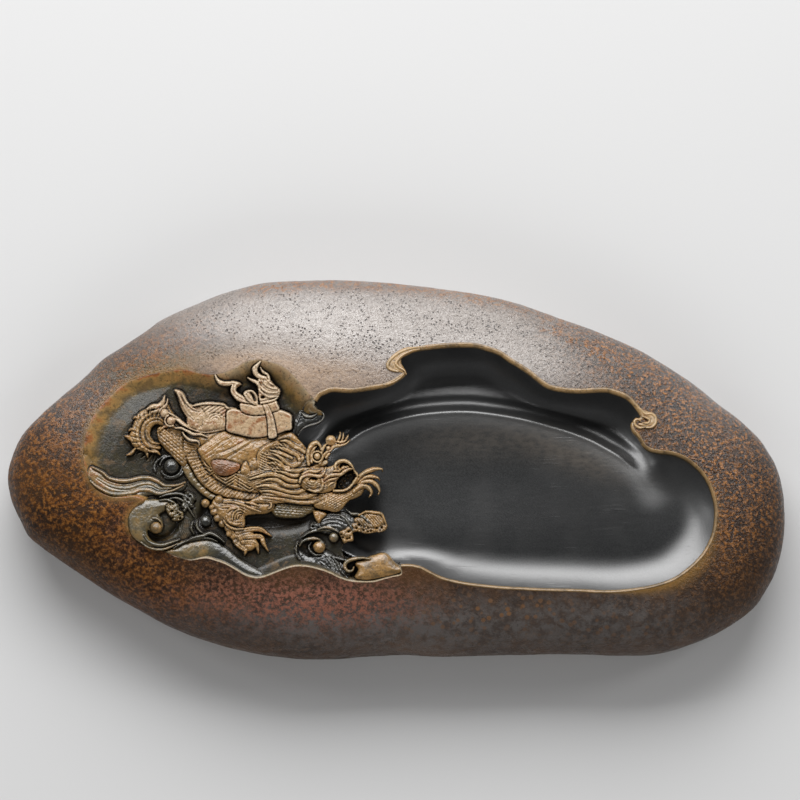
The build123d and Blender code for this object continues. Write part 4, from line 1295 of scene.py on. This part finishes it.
FLAME_STRANDS = [
    ("bundle_plume", [
        ("178,393 182.5,402 187,411 194,419", 1.4, 4.6),
        ("182,393 187,402 193,408 200,411", 1.3, 4.7),
    ]),
    ("cloth_bundle", [
        ("225,405 229,408.5 236,409.5 230,412.5", 1.6, 4.6),
        ("193,406 204,403.5 216,403.5 226,405", 1.3, 4.9),
    ]),
]
LOOP_HOLE_PX = "251.5,393 253.5,396 255,400"
KNOT_HOLE_PX = "262.6,397 263.4,397"
LOOP_CUT_PX = "236.5,387.5 238.5,385.5 241,384"


def lay_saddle():
    """The saddle cloth with its hanging tongue, and the cushion."""
    art.form("saddle_cloth", CLOTH_PX, 4.3, 14, 1.2, 0.38, 0.5)
    art.cuts(CLOTH_CUTS)
    art.hatch(CLOTH_WEAVE_PX, 2.0, -34, 0.12)
    art.form("saddle_cloth", TONGUE_CLOTH_PX, 4.8, 6, 0.9, 0.38, 0.4)
    art.work(TONGUE_CLOTH_CUT_PX, 0.6, -0.25)
    art.form("saddle_cushion", CUSHION_PX, 4.6, 8, 1.0, 0.3, 0.5)
    art.ruddy = np.where(art.owned("saddle_cushion"), 0.2, art.ruddy)
    art.hatch(CUSHION_WEAVE_PX, 2.2, 15, 0.12, wave=0.6)


def lay_bundle():
    """The bundle with its folds and seam, and the plume that stands on it."""
    art.form("cloth_bundle", BUNDLE_PX, 4.6, 11, 1.5, 0.36, 0.5)
    art.hatch(BUNDLE_FOLDS_PX, 3.2, -35, 0.45)
    art.hatch(BUNDLE_PLEATS_PX, 1.9, 70, 0.32)
    for radius in (3.5, 6.0, 8.5):
        art.work(ring(*BUNDLE_MIDDLE_PX, radius, 150, 400, 14), 0.7, -0.35)
    art.work(BUNDLE_SEAM_PX, 0.8, -0.5)
    art.form("bundle_plume", FLAME_PX, 4.2, 5, 1.1, 0.36, 0.5)
    for name, rows in FLAME_STRANDS:
        for line, width, top in rows:
            art.strand(name, line, width, top, strata=0.36, taper=(0.5, 0.3), end_top=top - 0.2)


def lay_casket():
    """The book casket with its lid and strap."""
    art.form("book_casket", CASKET_PX, 5.0, 2.2, 0.6, 0.34, 0.9, lean=(0.0, -0.012))
    art.work(CASKET_CORNER_PX, 0.5, -0.12)
    art.form("casket_lid", LID_PX, 5.6, 2.0, 0.5, 0.34, 0.6, lean=(0.0, -0.012))
    art.form("casket_strap", STRAP_PX, 5.9, 1.6, 0.35, 0.34, 0.5)
    art.cuts(STRAP_CUTS)


def lay_ribbon():
    """The ribbon's loops on the casket, its ends, and the holes through the loops."""
    art.form("ribbon_knot", LOOP_RIGHT_PX, 5.4, 6, 1.2, 0.34, 0.6)
    art.form("ribbon_knot", LOOP_LEFT_PX, 5.2, 3, 0.7, 0.34, 0.6)
    art.form("ribbon_knot", LOOP_MIDDLE_PX, 5.5, 3, 0.6, 0.34, 0.6)
    for name, rows in RIBBON_STRANDS:
        for line, width, top in rows:
            art.strand(name, line, width, top, 0.34, width * 0.25, 0.35, taper=(0.8, 0.3))
    art.work(LOOP_HOLE_PX, 1.3, -2.2, taper=(0.8, 0.8))
    art.work(KNOT_HOLE_PX, 1.5, -2.2, taper=(1, 1))
    art.work(LOOP_CUT_PX, 0.9, -1.4)


HEAD_PX = trace("""
    299,478 303,470 312,466 322,466 326,467 332,465.5 336,463 341,460.5 347,461.5 352,465 354,469 349,471
    344,474 340,477 337,481 335.5,488 328,492 318,493 308,491 301,486
""")
MANE_PX = trace("""
    236,474 244,473 252,470 259,466 259,458 264,450 272,446 281,440 291,439 301,444 307,450 309,444
    315,440.5 320.5,443 322.5,449 326,452 329,456 327,462 324,468 318,470 306,474 303,484 312,492 324,495
    322,501 308,503 294,502 278,503 262,503 250,501 262,494 252,487 244,481
""")
MANE_STRANDS = [
    ("326,462 316,467 306,470 296,471 287,469 281,463 274,459 268,457", 2.6, 5.4),
    ("322,470 312,474 302,475 292,475 283,472 275,471", 2.2, 5.3),
    ("304,478 298,481 290,480 281,476 270,474 260,476 250,479", 2.4, 5.2),
    ("303,484 295,486 286,485 278,480 270,479 262,481", 2.2, 5.0),
    ("305,489 297,492 286,491 276,487 266,485 256,487", 2.3, 4.8),
    ("316,493 306,497 294,497 282,494 270,491 260,491", 2.3, 4.6),
    ("326,496 316,501 302,502 288,500 274,498 262,497", 2.2, 4.2),
    ("303,458 298,464 291,466 285,461 279,456 272,453", 2.3, 5.0),
    ("305,452 300,449 294,446 287,441 280,441", 2.2, 4.9),
    ("300,460 297,455 291,452 285,449 277,447", 2.1, 4.9),
    ("292,458 286,455 278,452 270,450", 2.0, 4.8),
    ("289,468 283,466 276,463 268,463", 2.0, 5.0),
]
# Ribs: where the first one starts and ends, where the last one does, and how many there are.
RIB_ROWS = [
    ("261,452 269,455.5", "259.5,466 266,469.5", 7), ("275,446 281,451.5", "282,441.5 288,447.5", 4),
    ("268,462 275,467", "275,458 281,463", 4), ("272,469 278,474", "279,465.5 284,470.5", 4),
]
HEAD_STRANDS = [
    ("dragon_head", [
        ("300,482 302,477 308,474.5 315,475.5 320,476 324,473 326,467", 1.8, 6.1, 0.36),
        ("303,474 310,471 317,471.5 322,469", 1.6, 5.9, 0.36),
        ("324,480 330,475.5 336,474.5 341,474 345,471 350,468.5 354,469", 1.8, 6.0, 0.36),
        ("323,484 329,480 335,478.5 339,477", 1.4, 5.7, 0.38),
        ("336,469 335.5,465 338,462 343,460.5 348,462 352,465.5 354.5,470", 1.9, 6.0, 0.36),
        ("334,471 337,470.5 340,472", 1.1, 6.1, 0.34),
        ("322,479 323,484 321,489 315,491 308,489", 1.6, 5.7, 0.4),
        ("328,486 332,483 335,482", 1.2, 5.6, 0.38),
        ("354,470 357,474 358,477", 1.4, 5.2, 0.4),
    ]),
    ("horns", [
        ("309,464 308.5,456 310,449 313,444.5 317,442.5 320.5,446 321,450", 2.5, 5.6, 0.38),
        ("312,462 312,455 314,449 317,446", 1.6, 5.9, 0.36),
        ("320,463 323,457 327,452.5 331,449 334,446 340,445 346,443.5 350,440", 2.1, 5.6, 0.36),
        ("322,452 324,447 327,443.5", 1.7, 5.4, 0.38),
        ("336,443 339,439 340.5,434 340,431.5", 1.3, 5.5, 0.36),
        ("340,443 343,438 343.5,432", 1.1, 5.4, 0.36),
        ("344,442 347,438 348.5,434.5", 1.2, 5.4, 0.34),
        ("336,441.5 341,442 347,440.5", 1.3, 5.5, 0.36),
        ("326,458 328,455 331,453", 1.4, 5.5, 0.4),
    ]),
]
CHEEK_FLOWS_PX = ["300,486 310,492 322,491 334,486", "300,477 310,468 322,467"]
NOSTRIL_PX = "340.5,466.5 343,464.2 347.5,464.5"
EYELID_PX = "309.5,479.5 311.5,477.6 315,477.2 317.5,479.3"
EYE_FOLD_PX = "309.2,480.5 311.5,483.3 315.5,483.6 318,481.3"
PUPIL_PX = "313,478.8 315,478.8"
CHEEK_MIDDLE_PX = (312, 481)
PEARL_RING = (317.5, 456.5, 5.2, 0, 360, 20)
HEAD_BEADS = [("dragon_head", 340, 470, 1.4, 6.1, 0.34), ("dragon_head", 313.2, 480.6, 3.0, 6.0, 0.38)]
HORN_PEARLS = [
    ("horn_pearl", 317.5, 456, 3.5, 6.2, 0.36), ("horn_pearl", 331, 440.5, 5.4, 6.0, 0.34),
    ("horn_pearl", 328.5, 448, 2.5, 5.9, 0.34),
]


def lay_head():
    """The mane, and over it the dragon's head with its horns and pearls."""
    art.form("mane", MANE_PX, 4.4, 10, 1.4, 0.45, 0.3)
    flows = [line for line, _, _ in MANE_STRANDS]
    art.hair(MANE_PX, flows, 1.9, 0.3)
    art.strands([("mane", MANE_STRANDS)], strata=0.4, taper=(0.9, 0.2), trench=0.4, drop=0.8)
    art.hair(MANE_PX, flows, 1.7, 0.22)
    for first, last, count in RIB_ROWS:
        for t in np.linspace(0, 1, count):
            rib = trace(first) * (1 - t) + trace(last) * t
            # Each rib with a painted highlight.
            art.work(rib, 0.55, 0.35, 0.4)
            art.work(rib + (-0.5, 1.3), 0.5, -0.4)
    art.form("dragon_head", HEAD_PX, 5.5, 8, 1.8, 0.4, 0.6)
    art.hair(HEAD_PX, CHEEK_FLOWS_PX, 2.1, 0.2)
    art.strands(HEAD_STRANDS, taper=(0.7, 0.3), trench=0.4)
    art.work(NOSTRIL_PX, 1.4, -2.4, taper=(0.7, 0.5))
    art.balls(HEAD_BEADS)
    art.work(EYELID_PX, 0.7, -0.8, taper=(0.8, 0.8))
    # A painted highlight on the fold under the eye.
    art.work(EYE_FOLD_PX, 0.8, 0.35, 0.6)
    art.work(PUPIL_PX, 1.4, -1.4, taper=(1, 1))
    for k in range(4):
        art.work(ring(*CHEEK_MIDDLE_PX, 5.6 + 2.1 * k, 40, 165, 14, squash=0.85), 0.55, -0.4)
    art.strand("horn_pearl", ring(*PEARL_RING), 1.0, 5.7, strata=0.4)
    art.balls(HORN_PEARLS)


# How rough the worked surface is, and the share of it that is left on the smoother pieces.
ROUGH = 0.1
SMOOTHER = {
    "ground": 0.2, "wave_crest_right": 0.4, "wave_scroll_left": 0.4, "wave_bank": 0.4,
    "wave_swell": 0.4, "book_casket": 0.4, "casket_lid": 0.4,
}


def relief_pieces():
    """The relief shared among its pieces, with painted shade in the hollows and painted highlight on the
    crests.
    """
    rough = ROUGH * (art.who > 0)
    for name, share in SMOOTHER.items():
        rough = np.where(art.owned(name), share * ROUGH, rough)
    level = art.z + rough * (noise(art.u, art.v, 1.4, 41) + noise(art.u, art.v, 3.2, 42))
    inner = level[1:-1, 1:-1] * 4 + level[:-2, 1:-1] + level[2:, 1:-1] + level[1:-1, :-2] + level[1:-1, 2:]
    level[1:-1, 1:-1] = inner / 8
    level = np.where(art.who > 0, level, FLOOR_LEVEL)
    near, far = blur(level, 3), blur(level, 9)
    # Painted shade, darker in the hollows and cuts.
    hollow_shade = 0.8 * np.clip((near - level - 0.05) / 0.32, 0, 1)
    hollow_shade += 0.7 * np.clip((far - level - 0.15) / 0.9, 0, 1)
    # Painted shadow in the gaps under the figure.
    hollow_shade += 0.8 * art.gap * art.owned("ground")
    # Painted highlight on the crests, stronger on the highest pieces.
    raised = np.clip((level - near - 0.05) / 0.3, 0, 1)
    pale = ease((level - FIELD_LEVEL - 3.2) / 2.0)
    masks = {
        "strata": art.strata, "hollow_shade": np.clip(hollow_shade, 0, 1), "ruddy": art.ruddy,
        "light": np.clip(art.light + raised * (0.1 + 0.5 * pale), 0, 1),
    }
    c = corners(art.u.shape)
    highest = level.ravel()[c].argmax(0)
    owner = np.take_along_axis(art.who.ravel()[c], highest[None], 0)[0]
    xyz = (*place(art.u, art.v, level), level)
    made = {}
    for number, name in enumerate(art.names):
        if name != VOID:
            slot, node = ("slate", "slate_core") if name == "ground" else (slot_of[name], name)
            made[name] = make_piece("relief_" + name, xyz, c[::-1, owner == number].T, masks, node)
    return made


# The two curls on the skin: the window, and strokes with their width, rise and layer.
LIP_CURLS = [
    ("lip_curl_middle", (376, 424, 338, 386), [
        ("419,349 409,350 401,353.5 395,358.5 392.5,364 396,368.5 402,371", 4.2, 0.3, 0.43),
        ("420,347 411,348 403,350.5 396,354.5 390,360 387.5,365.5 391,369.5 398,371.5", 2.0, 0.55, 0.4),
        ("411,351 404,354 399,358 396,363 399,367 404,370 406,374", 1.9, 0.7, 0.36),
        ("404,374 399,378.5 392,382.5 384,385", 1.4, 0.35, 0.4),
    ]),
    ("lip_curl_right", (622, 668, 398, 438), [
        ("637,408 643,412.5 650,415.5 652.5,420.5 647,424.5 639,424", 3.4, 0.3, 0.4),
        ("634,403.5 640,409 645,413.5 651,413.5 655,417 655,423 651,427 645.5,427.5", 1.6, 0.55, 0.38),
        ("641,416 645.5,417.5 649,420 647,423 642,422.5", 1.3, 0.8, 0.36),
        ("645,427 639,427.5 635,425 634,421 637,419 640,421", 1.6, 0.6, 0.4),
        ("633,428 636,433 640,439 645,446", 1.0, 0.2, 0.45),
    ]),
]


def lip_curls():
    """The two curls that stand on the skin at the well's edge, each on a small patch of its own."""
    made = {}
    for name, window, strokes in LIP_CURLS:
        patch = Relief(*window)
        skin = skin_under(patch.u, patch.v)
        patch.z = skin - 0.9
        for line, width, rise, strata in strokes:
            d, along, _ = nearest(curve(line), patch.u, patch.v)
            wide = width * (0.35 + 0.65 * ease(along / 0.3)) * (0.45 + 0.55 * ease((1 - along) / 0.25))
            t = np.clip(d / wide, 0, 1)
            top = skin + rise - (rise + 0.35) * (1 - np.sqrt(1 - t * t))
            higher = (d < wide) & (top > patch.z)
            patch.z = np.where(higher, top, patch.z)
            patch.who = np.where(higher, 1, patch.who)
            patch.strata = np.where(higher, strata, patch.strata)
        masks = {
            # Painted shade in the hollows between the strokes.
            "strata": patch.strata, "hollow_shade": np.clip((blur(patch.z, 2) - patch.z) / 0.4, 0, 1),
            # Painted highlight on the raised strokes, stronger the higher they stand.
            "ruddy": patch.ruddy, "light": np.clip((patch.z - skin) / 1.2, 0, 0.45),
        }
        c = corners(patch.u.shape)
        xyz = (*place(patch.u, patch.v, patch.z), patch.z)
        quads = c[::-1, patch.who.ravel()[c].max(0) > 0].T
        made[name] = make_piece(name + "_roll", xyz, quads, masks, name)
    return made


for lay in (
    lay_ground, lay_left_curl, lay_swells, lay_spray, lay_wave_lines,
    lay_body, lay_saddle, lay_bundle, lay_casket, lay_ribbon, lay_head,
):
    lay()
carving = {**relief_pieces(), **lip_curls()}


class Finish:
    """One procedural stone surface, put together from noise, masks and attributes."""

    def __init__(self, name):
        self.material = bpy.data.materials.new(name)
        self.material.use_nodes = True
        self.tree = self.material.node_tree
        self.where = self.tree.nodes.new("ShaderNodeTexCoord").outputs["Object"]

    def fill(self, inputs, values):
        """Links to a node's inputs, or plain values on them."""
        for key, value in values.items():
            if isinstance(value, bpy.types.NodeSocket):
                self.tree.links.new(value, inputs[key])
            else:
                inputs[key].default_value = value

    def node(self, kind, inputs, **settings):
        node = self.tree.nodes.new("ShaderNode" + kind)
        for key, value in settings.items():
            setattr(node, key, value)
        self.fill(node.inputs, inputs)
        return node.outputs

    def shade(self, qualities):
        self.fill(self.tree.nodes["Principled BSDF"].inputs, qualities)

    def mask(self, key, *share):
        """A mask of the mesh, times any values given."""
        value = self.node("Attribute", {}, attribute_name=key)["Fac"]
        for factor in share:
            value = self.times(value, factor)
        return value

    def stretched(self, scale):
        return self.node("Mapping", {"Vector": self.where, "Scale": scale})["Vector"]

    def grain(self, size, detail=3.0, rough=0.55, stretch=(1, 1, 1), warp=0.0):
        inputs = {"Vector": self.stretched(stretch), "Scale": 1 / (size * MM), "Detail": detail,
                  "Roughness": rough, "Distortion": warp}
        return self.node("TexNoise", inputs)["Fac"]

    def pits(self, size):
        inputs = {"Vector": self.stretched((1, 1, 1)), "Scale": 1 / (size * MM)}
        return self.node("TexVoronoi", inputs)["Distance"]

    def span(self, value, low, high, to_low=0.0, to_high=1.0):
        inputs = {"Value": value, "From Min": low, "From Max": high, "To Min": to_low, "To Max": to_high}
        return self.node("MapRange", inputs, interpolation_type="SMOOTHSTEP")["Result"]

    def times(self, a, b):
        return self.node("Math", {0: a, 1: b}, operation="MULTIPLY")[0]

    def plus(self, a, b):
        return self.node("Math", {0: a, 1: b}, operation="ADD")[0]

    def layered(self, colour, *layers):
        """Colours laid one over another, each with the share that covers."""
        for share, over in layers:
            over = (*over, 1.0) if isinstance(over, tuple) else over
            colour = self.node("Mix", {0: share, 6: colour, 7: over}, data_type="RGBA")[2]
        return colour

    def ramp(self, value, stops):
        colour = self.node("ValToRGB", {"Fac": value})["Color"]
        elements = colour.node.color_ramp.elements
        while len(elements) < len(stops):
            elements.new(0.5)
        for element, (at, _) in zip(elements, stops):
            element.position = at
        for element, (_, shade) in zip(elements, stops):
            element.color = (*shade, 1.0)
        return colour

    def bump(self, *layers):
        normal = {}
        for height, depth, strength in layers:
            inputs = {"Distance": depth * MM, "Strength": strength, "Height": height, **normal}
            normal = {"Normal": self.node("Bump", inputs)["Normal"]}
        self.shade({**normal, "Coat Normal": normal["Normal"]})

    def on(self, *shown):
        for piece in shown:
            piece.data.materials.clear()
            piece.data.materials.append(self.material)


def rind_finish():
    """The river skin: brown with rust, red and grey patches, painted sheen and shade, pitted where it
    shines.
    """
    f = Finish("river_rind")
    broad = f.grain(24.0, 4.0, 0.6, warp=0.5)
    medium = f.grain(3.6, 5.0, 0.7, warp=0.3)
    small = f.grain(1.3, 4.0, 0.7)
    fine = f.grain(0.8, 3.0, 0.65)
    brown, rust, speckled = [f.ramp(grain, stops) for grain, stops in (
        (broad, [(0.3, (0.018, 0.009, 0.005)), (0.5, (0.042, 0.02, 0.009)), (0.72, (0.09, 0.042, 0.016))]),
        (small, [(0.32, (0.04, 0.012, 0.003)), (0.5, (0.17, 0.06, 0.012)), (0.68, (0.4, 0.165, 0.034))]),
        (small, [(0.4, (0.012, 0.009, 0.008)), (0.5, (0.06, 0.028, 0.013)), (0.62, (0.48, 0.19, 0.04))]),
    )]
    rusty = f.span(f.plus(medium, f.span(small, 0.3, 0.7, -0.16, 0.16)), 0.4, 0.62)
    scattered = f.mask("pitted", f.span(f.grain(5.0), 0.42, 0.58))
    pits = f.pits(1.15)
    colour = f.layered(
        brown,
        (f.span(small, 0.48, 0.66, 0.0, 0.6), (0.13, 0.068, 0.03)),
        (f.mask("slate", f.span(medium, 0.62, 0.38, 0.4, 0.95)), (0.125, 0.112, 0.105)),
        (f.mask("red", f.span(small, 0.4, 0.62)), (0.26, 0.105, 0.07)),
        # A grey tone that is partly a painted sheen on the upper band.
        (f.mask("grey_and_sheen", f.span(small, 0.3, 0.55, 0.5, 1.0)), (0.36, 0.315, 0.285)),
        (f.mask("olive", 0.7), (0.16, 0.12, 0.06)),
        (f.mask("rust", rusty), rust),
        (f.mask("specks", f.span(f.pits(3.0), 0.36, 0.2)), (0.19, 0.1, 0.05)),
        (f.mask("pale", f.span(small, 0.3, 0.6, 0.4, 0.9)), (0.36, 0.25, 0.17)),
        (f.span(f.mask("rim"), 0.1, 0.9), (0.27, 0.15, 0.045)),
        # Painted shade toward the ends of the stone.
        (f.mask("painted_shade", 0.3), (0.016, 0.008, 0.004)),
        (f.mask("peppered", 0.8), speckled),
        # Painted shade in the pits.
        (f.times(f.times(f.span(pits, 0.34, 0.18), scattered), 0.9), (0.006, 0.004, 0.003)),
    )
    f.shade({
        "Base Color": colour, "Coat Roughness": 0.14,
        "Roughness": f.plus(f.span(f.grain(3.0, 4.0), 0.3, 0.7, 0.26, 0.5), f.mask("peel", -0.16)),
        "Specular IOR Level": f.span(f.mask("pitted"), 0.2, 1.0, 0.16, 0.95),
        "Coat Weight": f.span(f.mask("pitted"), 0.3, 1.0, 0.0, 0.8),
    })
    hollow = f.times(f.times(f.span(pits, 0.34, 0.14), scattered), -1.0)
    peel = f.times(small, f.span(f.mask("peel"), 0.0, 1.0, 0.35, 1.0))
    pimples = f.times(f.span(f.pits(0.95), 0.5, 0.05), f.span(f.mask("peel"), 0.0, 1.0, 0.1, 1.0))
    f.bump((medium, 0.3, 0.5), (peel, 1.2, 0.9), (pimples, 0.3, 1.0), (hollow, 0.3, 1.0), (fine, 0.16, 0.6))
    return f


def slate_finish(name):
    """Dark slate with a satin sheen, duller and rubbed where it is worn."""
    f = Finish(name)
    across = f.grain(1.8, 5.0, 0.7, stretch=(0.6, 1.2, 1.0))
    cloud = f.grain(17.0)
    fine = f.grain(0.5, 2.0, 0.6)
    colour = f.layered(
        f.ramp(fine, [(0.35, (0.011, 0.0115, 0.012)), (0.65, (0.025, 0.026, 0.0265))]),
        (f.span(cloud, 0.4, 0.7, 0.0, 0.5), (0.04, 0.04, 0.04)),
        (f.mask("dusty", f.span(across, 0.3, 0.65, 0.25, 0.8)), (0.1, 0.085, 0.07)),
        # Painted shade on the hall.
        (f.mask("dark", 0.6), (0.008, 0.008, 0.0085)),
        (f.span(f.mask("strata"), 0.9, 0.5), (0.24, 0.15, 0.07)),
    )
    f.shade({
        "Base Color": colour, "Coat Roughness": 0.36,
        "Roughness": f.plus(f.span(across, 0.3, 0.7, 0.345, 0.375), f.mask("worn", -0.02)),
        "Specular IOR Level": f.span(f.mask("worn"), 0.0, 0.9, 1.0, 0.25),
        "Coat Weight": f.span(f.mask("worn"), 0.0, 0.7, 1.0, 0.0),
    })
    scratches = f.span(f.grain(1.0, 2.0, 0.6, stretch=(0.06, 1.5, 1.0)), 0.62, 0.72)
    f.bump((f.times(scratches, f.span(cloud, 0.45, 0.6)), 0.05, 0.5), (fine, 0.04, 0.5))
    return f


def carved_finish(name, colours, roughness=0.36, gloss=0.7, coat=0.0, coat_roughness=0.03):
    """Carved stone, its colour going from the rusty outside to the dark inside, with painted shade in the
    cuts.
    """
    outer, middle, inner, dark, stain, painted_highlight = colours
    f = Finish(name)
    tone = f.grain(3.5, 4.0, 0.62, warp=0.5)
    fine = f.grain(0.7, 3.0, 0.6)
    spread = f.plus(f.mask("strata"), f.span(tone, 0.25, 0.75, -0.16, 0.16))
    layers = [(0.04, 0.02, 0.009), (0.27, 0.1, 0.03), outer, middle, inner, dark]
    colour = f.layered(
        f.ramp(spread, list(zip((0.0, 0.2, 0.34, 0.5, 0.72, 1.0), layers))),
        (f.span(tone, 0.5, 0.68, 0.0, 0.65), stain),
        (f.mask("ruddy", f.span(tone, 0.3, 0.6, 0.5, 1.0)), (0.27, 0.09, 0.03)),
        # Painted highlight on crests and worked lines.
        (f.mask("light"), painted_highlight),
        # Painted shade in the hollows and cuts.
        (f.span(f.mask("hollow_shade"), 0.0, 0.85), (0.012, 0.008, 0.004)),
        (f.span(fine, 0.47, 0.28, 0.0, 0.75), (0.03, 0.02, 0.01)),
    )
    f.shade({
        "Base Color": colour, "Specular IOR Level": gloss,
        "Roughness": f.span(tone, 0.3, 0.7, roughness - 0.08, roughness + 0.08),
        "Coat Weight": coat, "Coat Roughness": coat_roughness,
    })
    f.bump((fine, 0.16, 0.6))
    return f


# The colours of each carved stone from the outside in, then its stain and the painted highlight on its
# crests.
OCHRE = ((0.36, 0.2, 0.062), (0.27, 0.15, 0.046), (0.13, 0.085, 0.032), (0.03, 0.027, 0.018),
         (0.1, 0.062, 0.024), (0.6, 0.44, 0.24))
PALE = ((0.5, 0.35, 0.2), (0.42, 0.28, 0.15), (0.24, 0.16, 0.08), (0.05, 0.045, 0.035),
        (0.32, 0.19, 0.1), (0.68, 0.56, 0.4))
RUST = ((0.15, 0.072, 0.026), (0.13, 0.062, 0.022), (0.09, 0.045, 0.02), (0.04, 0.032, 0.024),
        (0.05, 0.025, 0.012), (0.42, 0.27, 0.15))
OLIVE = ((0.27, 0.16, 0.055), (0.16, 0.11, 0.04), (0.055, 0.048, 0.026), (0.014, 0.015, 0.013),
         (0.06, 0.05, 0.022), (0.35, 0.3, 0.2))
WAVE = ((0.26, 0.15, 0.055), (0.12, 0.09, 0.04), (0.045, 0.042, 0.028), (0.013, 0.014, 0.013),
        (0.03, 0.03, 0.02), (0.35, 0.33, 0.28))
GROUND = ((0.3, 0.17, 0.055), (0.2, 0.125, 0.042), (0.055, 0.045, 0.022), (0.013, 0.014, 0.012),
          (0.15, 0.09, 0.034), (0.42, 0.36, 0.26))
LIP = ((0.32, 0.2, 0.085), (0.25, 0.15, 0.058), (0.08, 0.06, 0.03), (0.012, 0.012, 0.012),
       (0.13, 0.08, 0.03), (0.5, 0.4, 0.26))

rind_finish().on(pieces["rind"])
slate_finish("slate").on(pieces["well_walls"], pieces["base"])
slate_finish("rubbed_slate").on(pieces["rubbed_hall"])
carved_finish("well_lip", LIP, 0.34).on(pieces["lip"])
carved_finish("carved_ground", GROUND, 0.34, 0.35, 0.15, 0.2).on(carving.pop("ground"))
carved = {
    "ochre_carving": carved_finish("ochre_carving", OCHRE, coat=0.35, coat_roughness=0.18),
    "pale_carving": carved_finish("pale_carving", PALE, coat=0.25, coat_roughness=0.18),
    "rust_carving": carved_finish("rust_carving", RUST),
    "olive_carving": carved_finish("olive_carving", OLIVE, coat=0.8, coat_roughness=0.18),
    "wave_slate": carved_finish("wave_slate", WAVE, coat=1.0, coat_roughness=0.18),
}
for name, piece in carving.items():
    carved.get(slot_of[name], carved["ochre_carving"]).on(piece)

# The camera is at the photograph's angle and far back, as the photograph's lines hardly run together.
AIM_RIGHT = 1.29
AIM_UP = 25.04
FAR = 7185.0
LENS = 900.0
pitch = math.radians(VIEW_DEGREES)
back = np.array([0.0, -math.cos(pitch), math.sin(pitch)])
up = np.array([0.0, math.sin(pitch), math.cos(pitch)])
lens = bpy.data.cameras.new("camera")
lens.lens = LENS
lens.sensor_width = 36.0
lens.clip_start = 0.1
lens.clip_end = 30.0
camera = bpy.data.objects.new("camera", lens)
camera.location = (np.array([AIM_RIGHT, 0.0, WIDEST_LEVEL]) + up * AIM_UP + back * FAR) * MM
camera.rotation_euler = (math.radians(90.0 - VIEW_DEGREES), 0.0, 0.0)
bpy.context.scene.collection.objects.link(camera)
bpy.context.scene.camera = camera

# The soft lamps, in metres and watts: where, how wide and tall, and how strong.
LIT_PLACE = np.array([0, 0, 0.02])
SOFTBOXES = {
    "back_softbox": ((-0.1, 1.0, 0.8), 1.5, 0.95, 25.0),
    "front_softbox": ((0.1, -1.2, 0.75), 1.4, 0.6, 7.0),
    "right_softbox": ((0.9, 0.25, 0.6), 0.22, 0.22, 1.1),
    "left_softbox": ((-0.9, 0.3, 0.6), 0.22, 0.22, 0.7),
}
for name, (where, wide, tall, watts) in SOFTBOXES.items():
    light = bpy.data.lights.new(name, "AREA")
    light.shape = "RECTANGLE"
    light.size = wide
    light.size_y = tall
    light.energy = watts
    lamp = bpy.data.objects.new(name, light)
    lamp.location = where
    lamp.rotation_euler = Vector(LIT_PLACE - where).to_track_quat("-Z", "Y").to_euler()
    # The front lamp only fills the shadows. It isn't mirrored in the polished walls.
    lamp.visible_glossy = name != "front_softbox"
    bpy.context.scene.collection.objects.link(lamp)

FLOOR_REACH = 3.0
FLOOR_GREY = 0.66
WORLD_GREY = 0.8
WORLD_STRENGTH = 0.18
floor_mesh = bpy.data.meshes.new("floor")
floor_corners = [(FLOOR_REACH * x, FLOOR_REACH * y, 0) for x, y in ((-1, -1), (1, -1), (1, 1), (-1, 1))]
floor_mesh.from_pydata(floor_corners, [], [(0, 1, 2, 3)])
floor = bpy.data.objects.new("floor", floor_mesh)
bpy.context.scene.collection.objects.link(floor)
cover = Finish("floor")
floor_colour = (FLOOR_GREY, FLOOR_GREY, FLOOR_GREY, 1)
cover.shade({"Base Color": floor_colour, "Roughness": 0.6, "Specular IOR Level": 0.2})
cover.on(floor)

world = bpy.data.worlds.new("studio")
world.use_nodes = True
world.node_tree.nodes["Background"].inputs["Color"].default_value = (WORLD_GREY, WORLD_GREY, WORLD_GREY, 1)
world.node_tree.nodes["Background"].inputs["Strength"].default_value = WORLD_STRENGTH
bpy.context.scene.world = world
bpy.context.scene.view_settings.view_transform = "Standard"
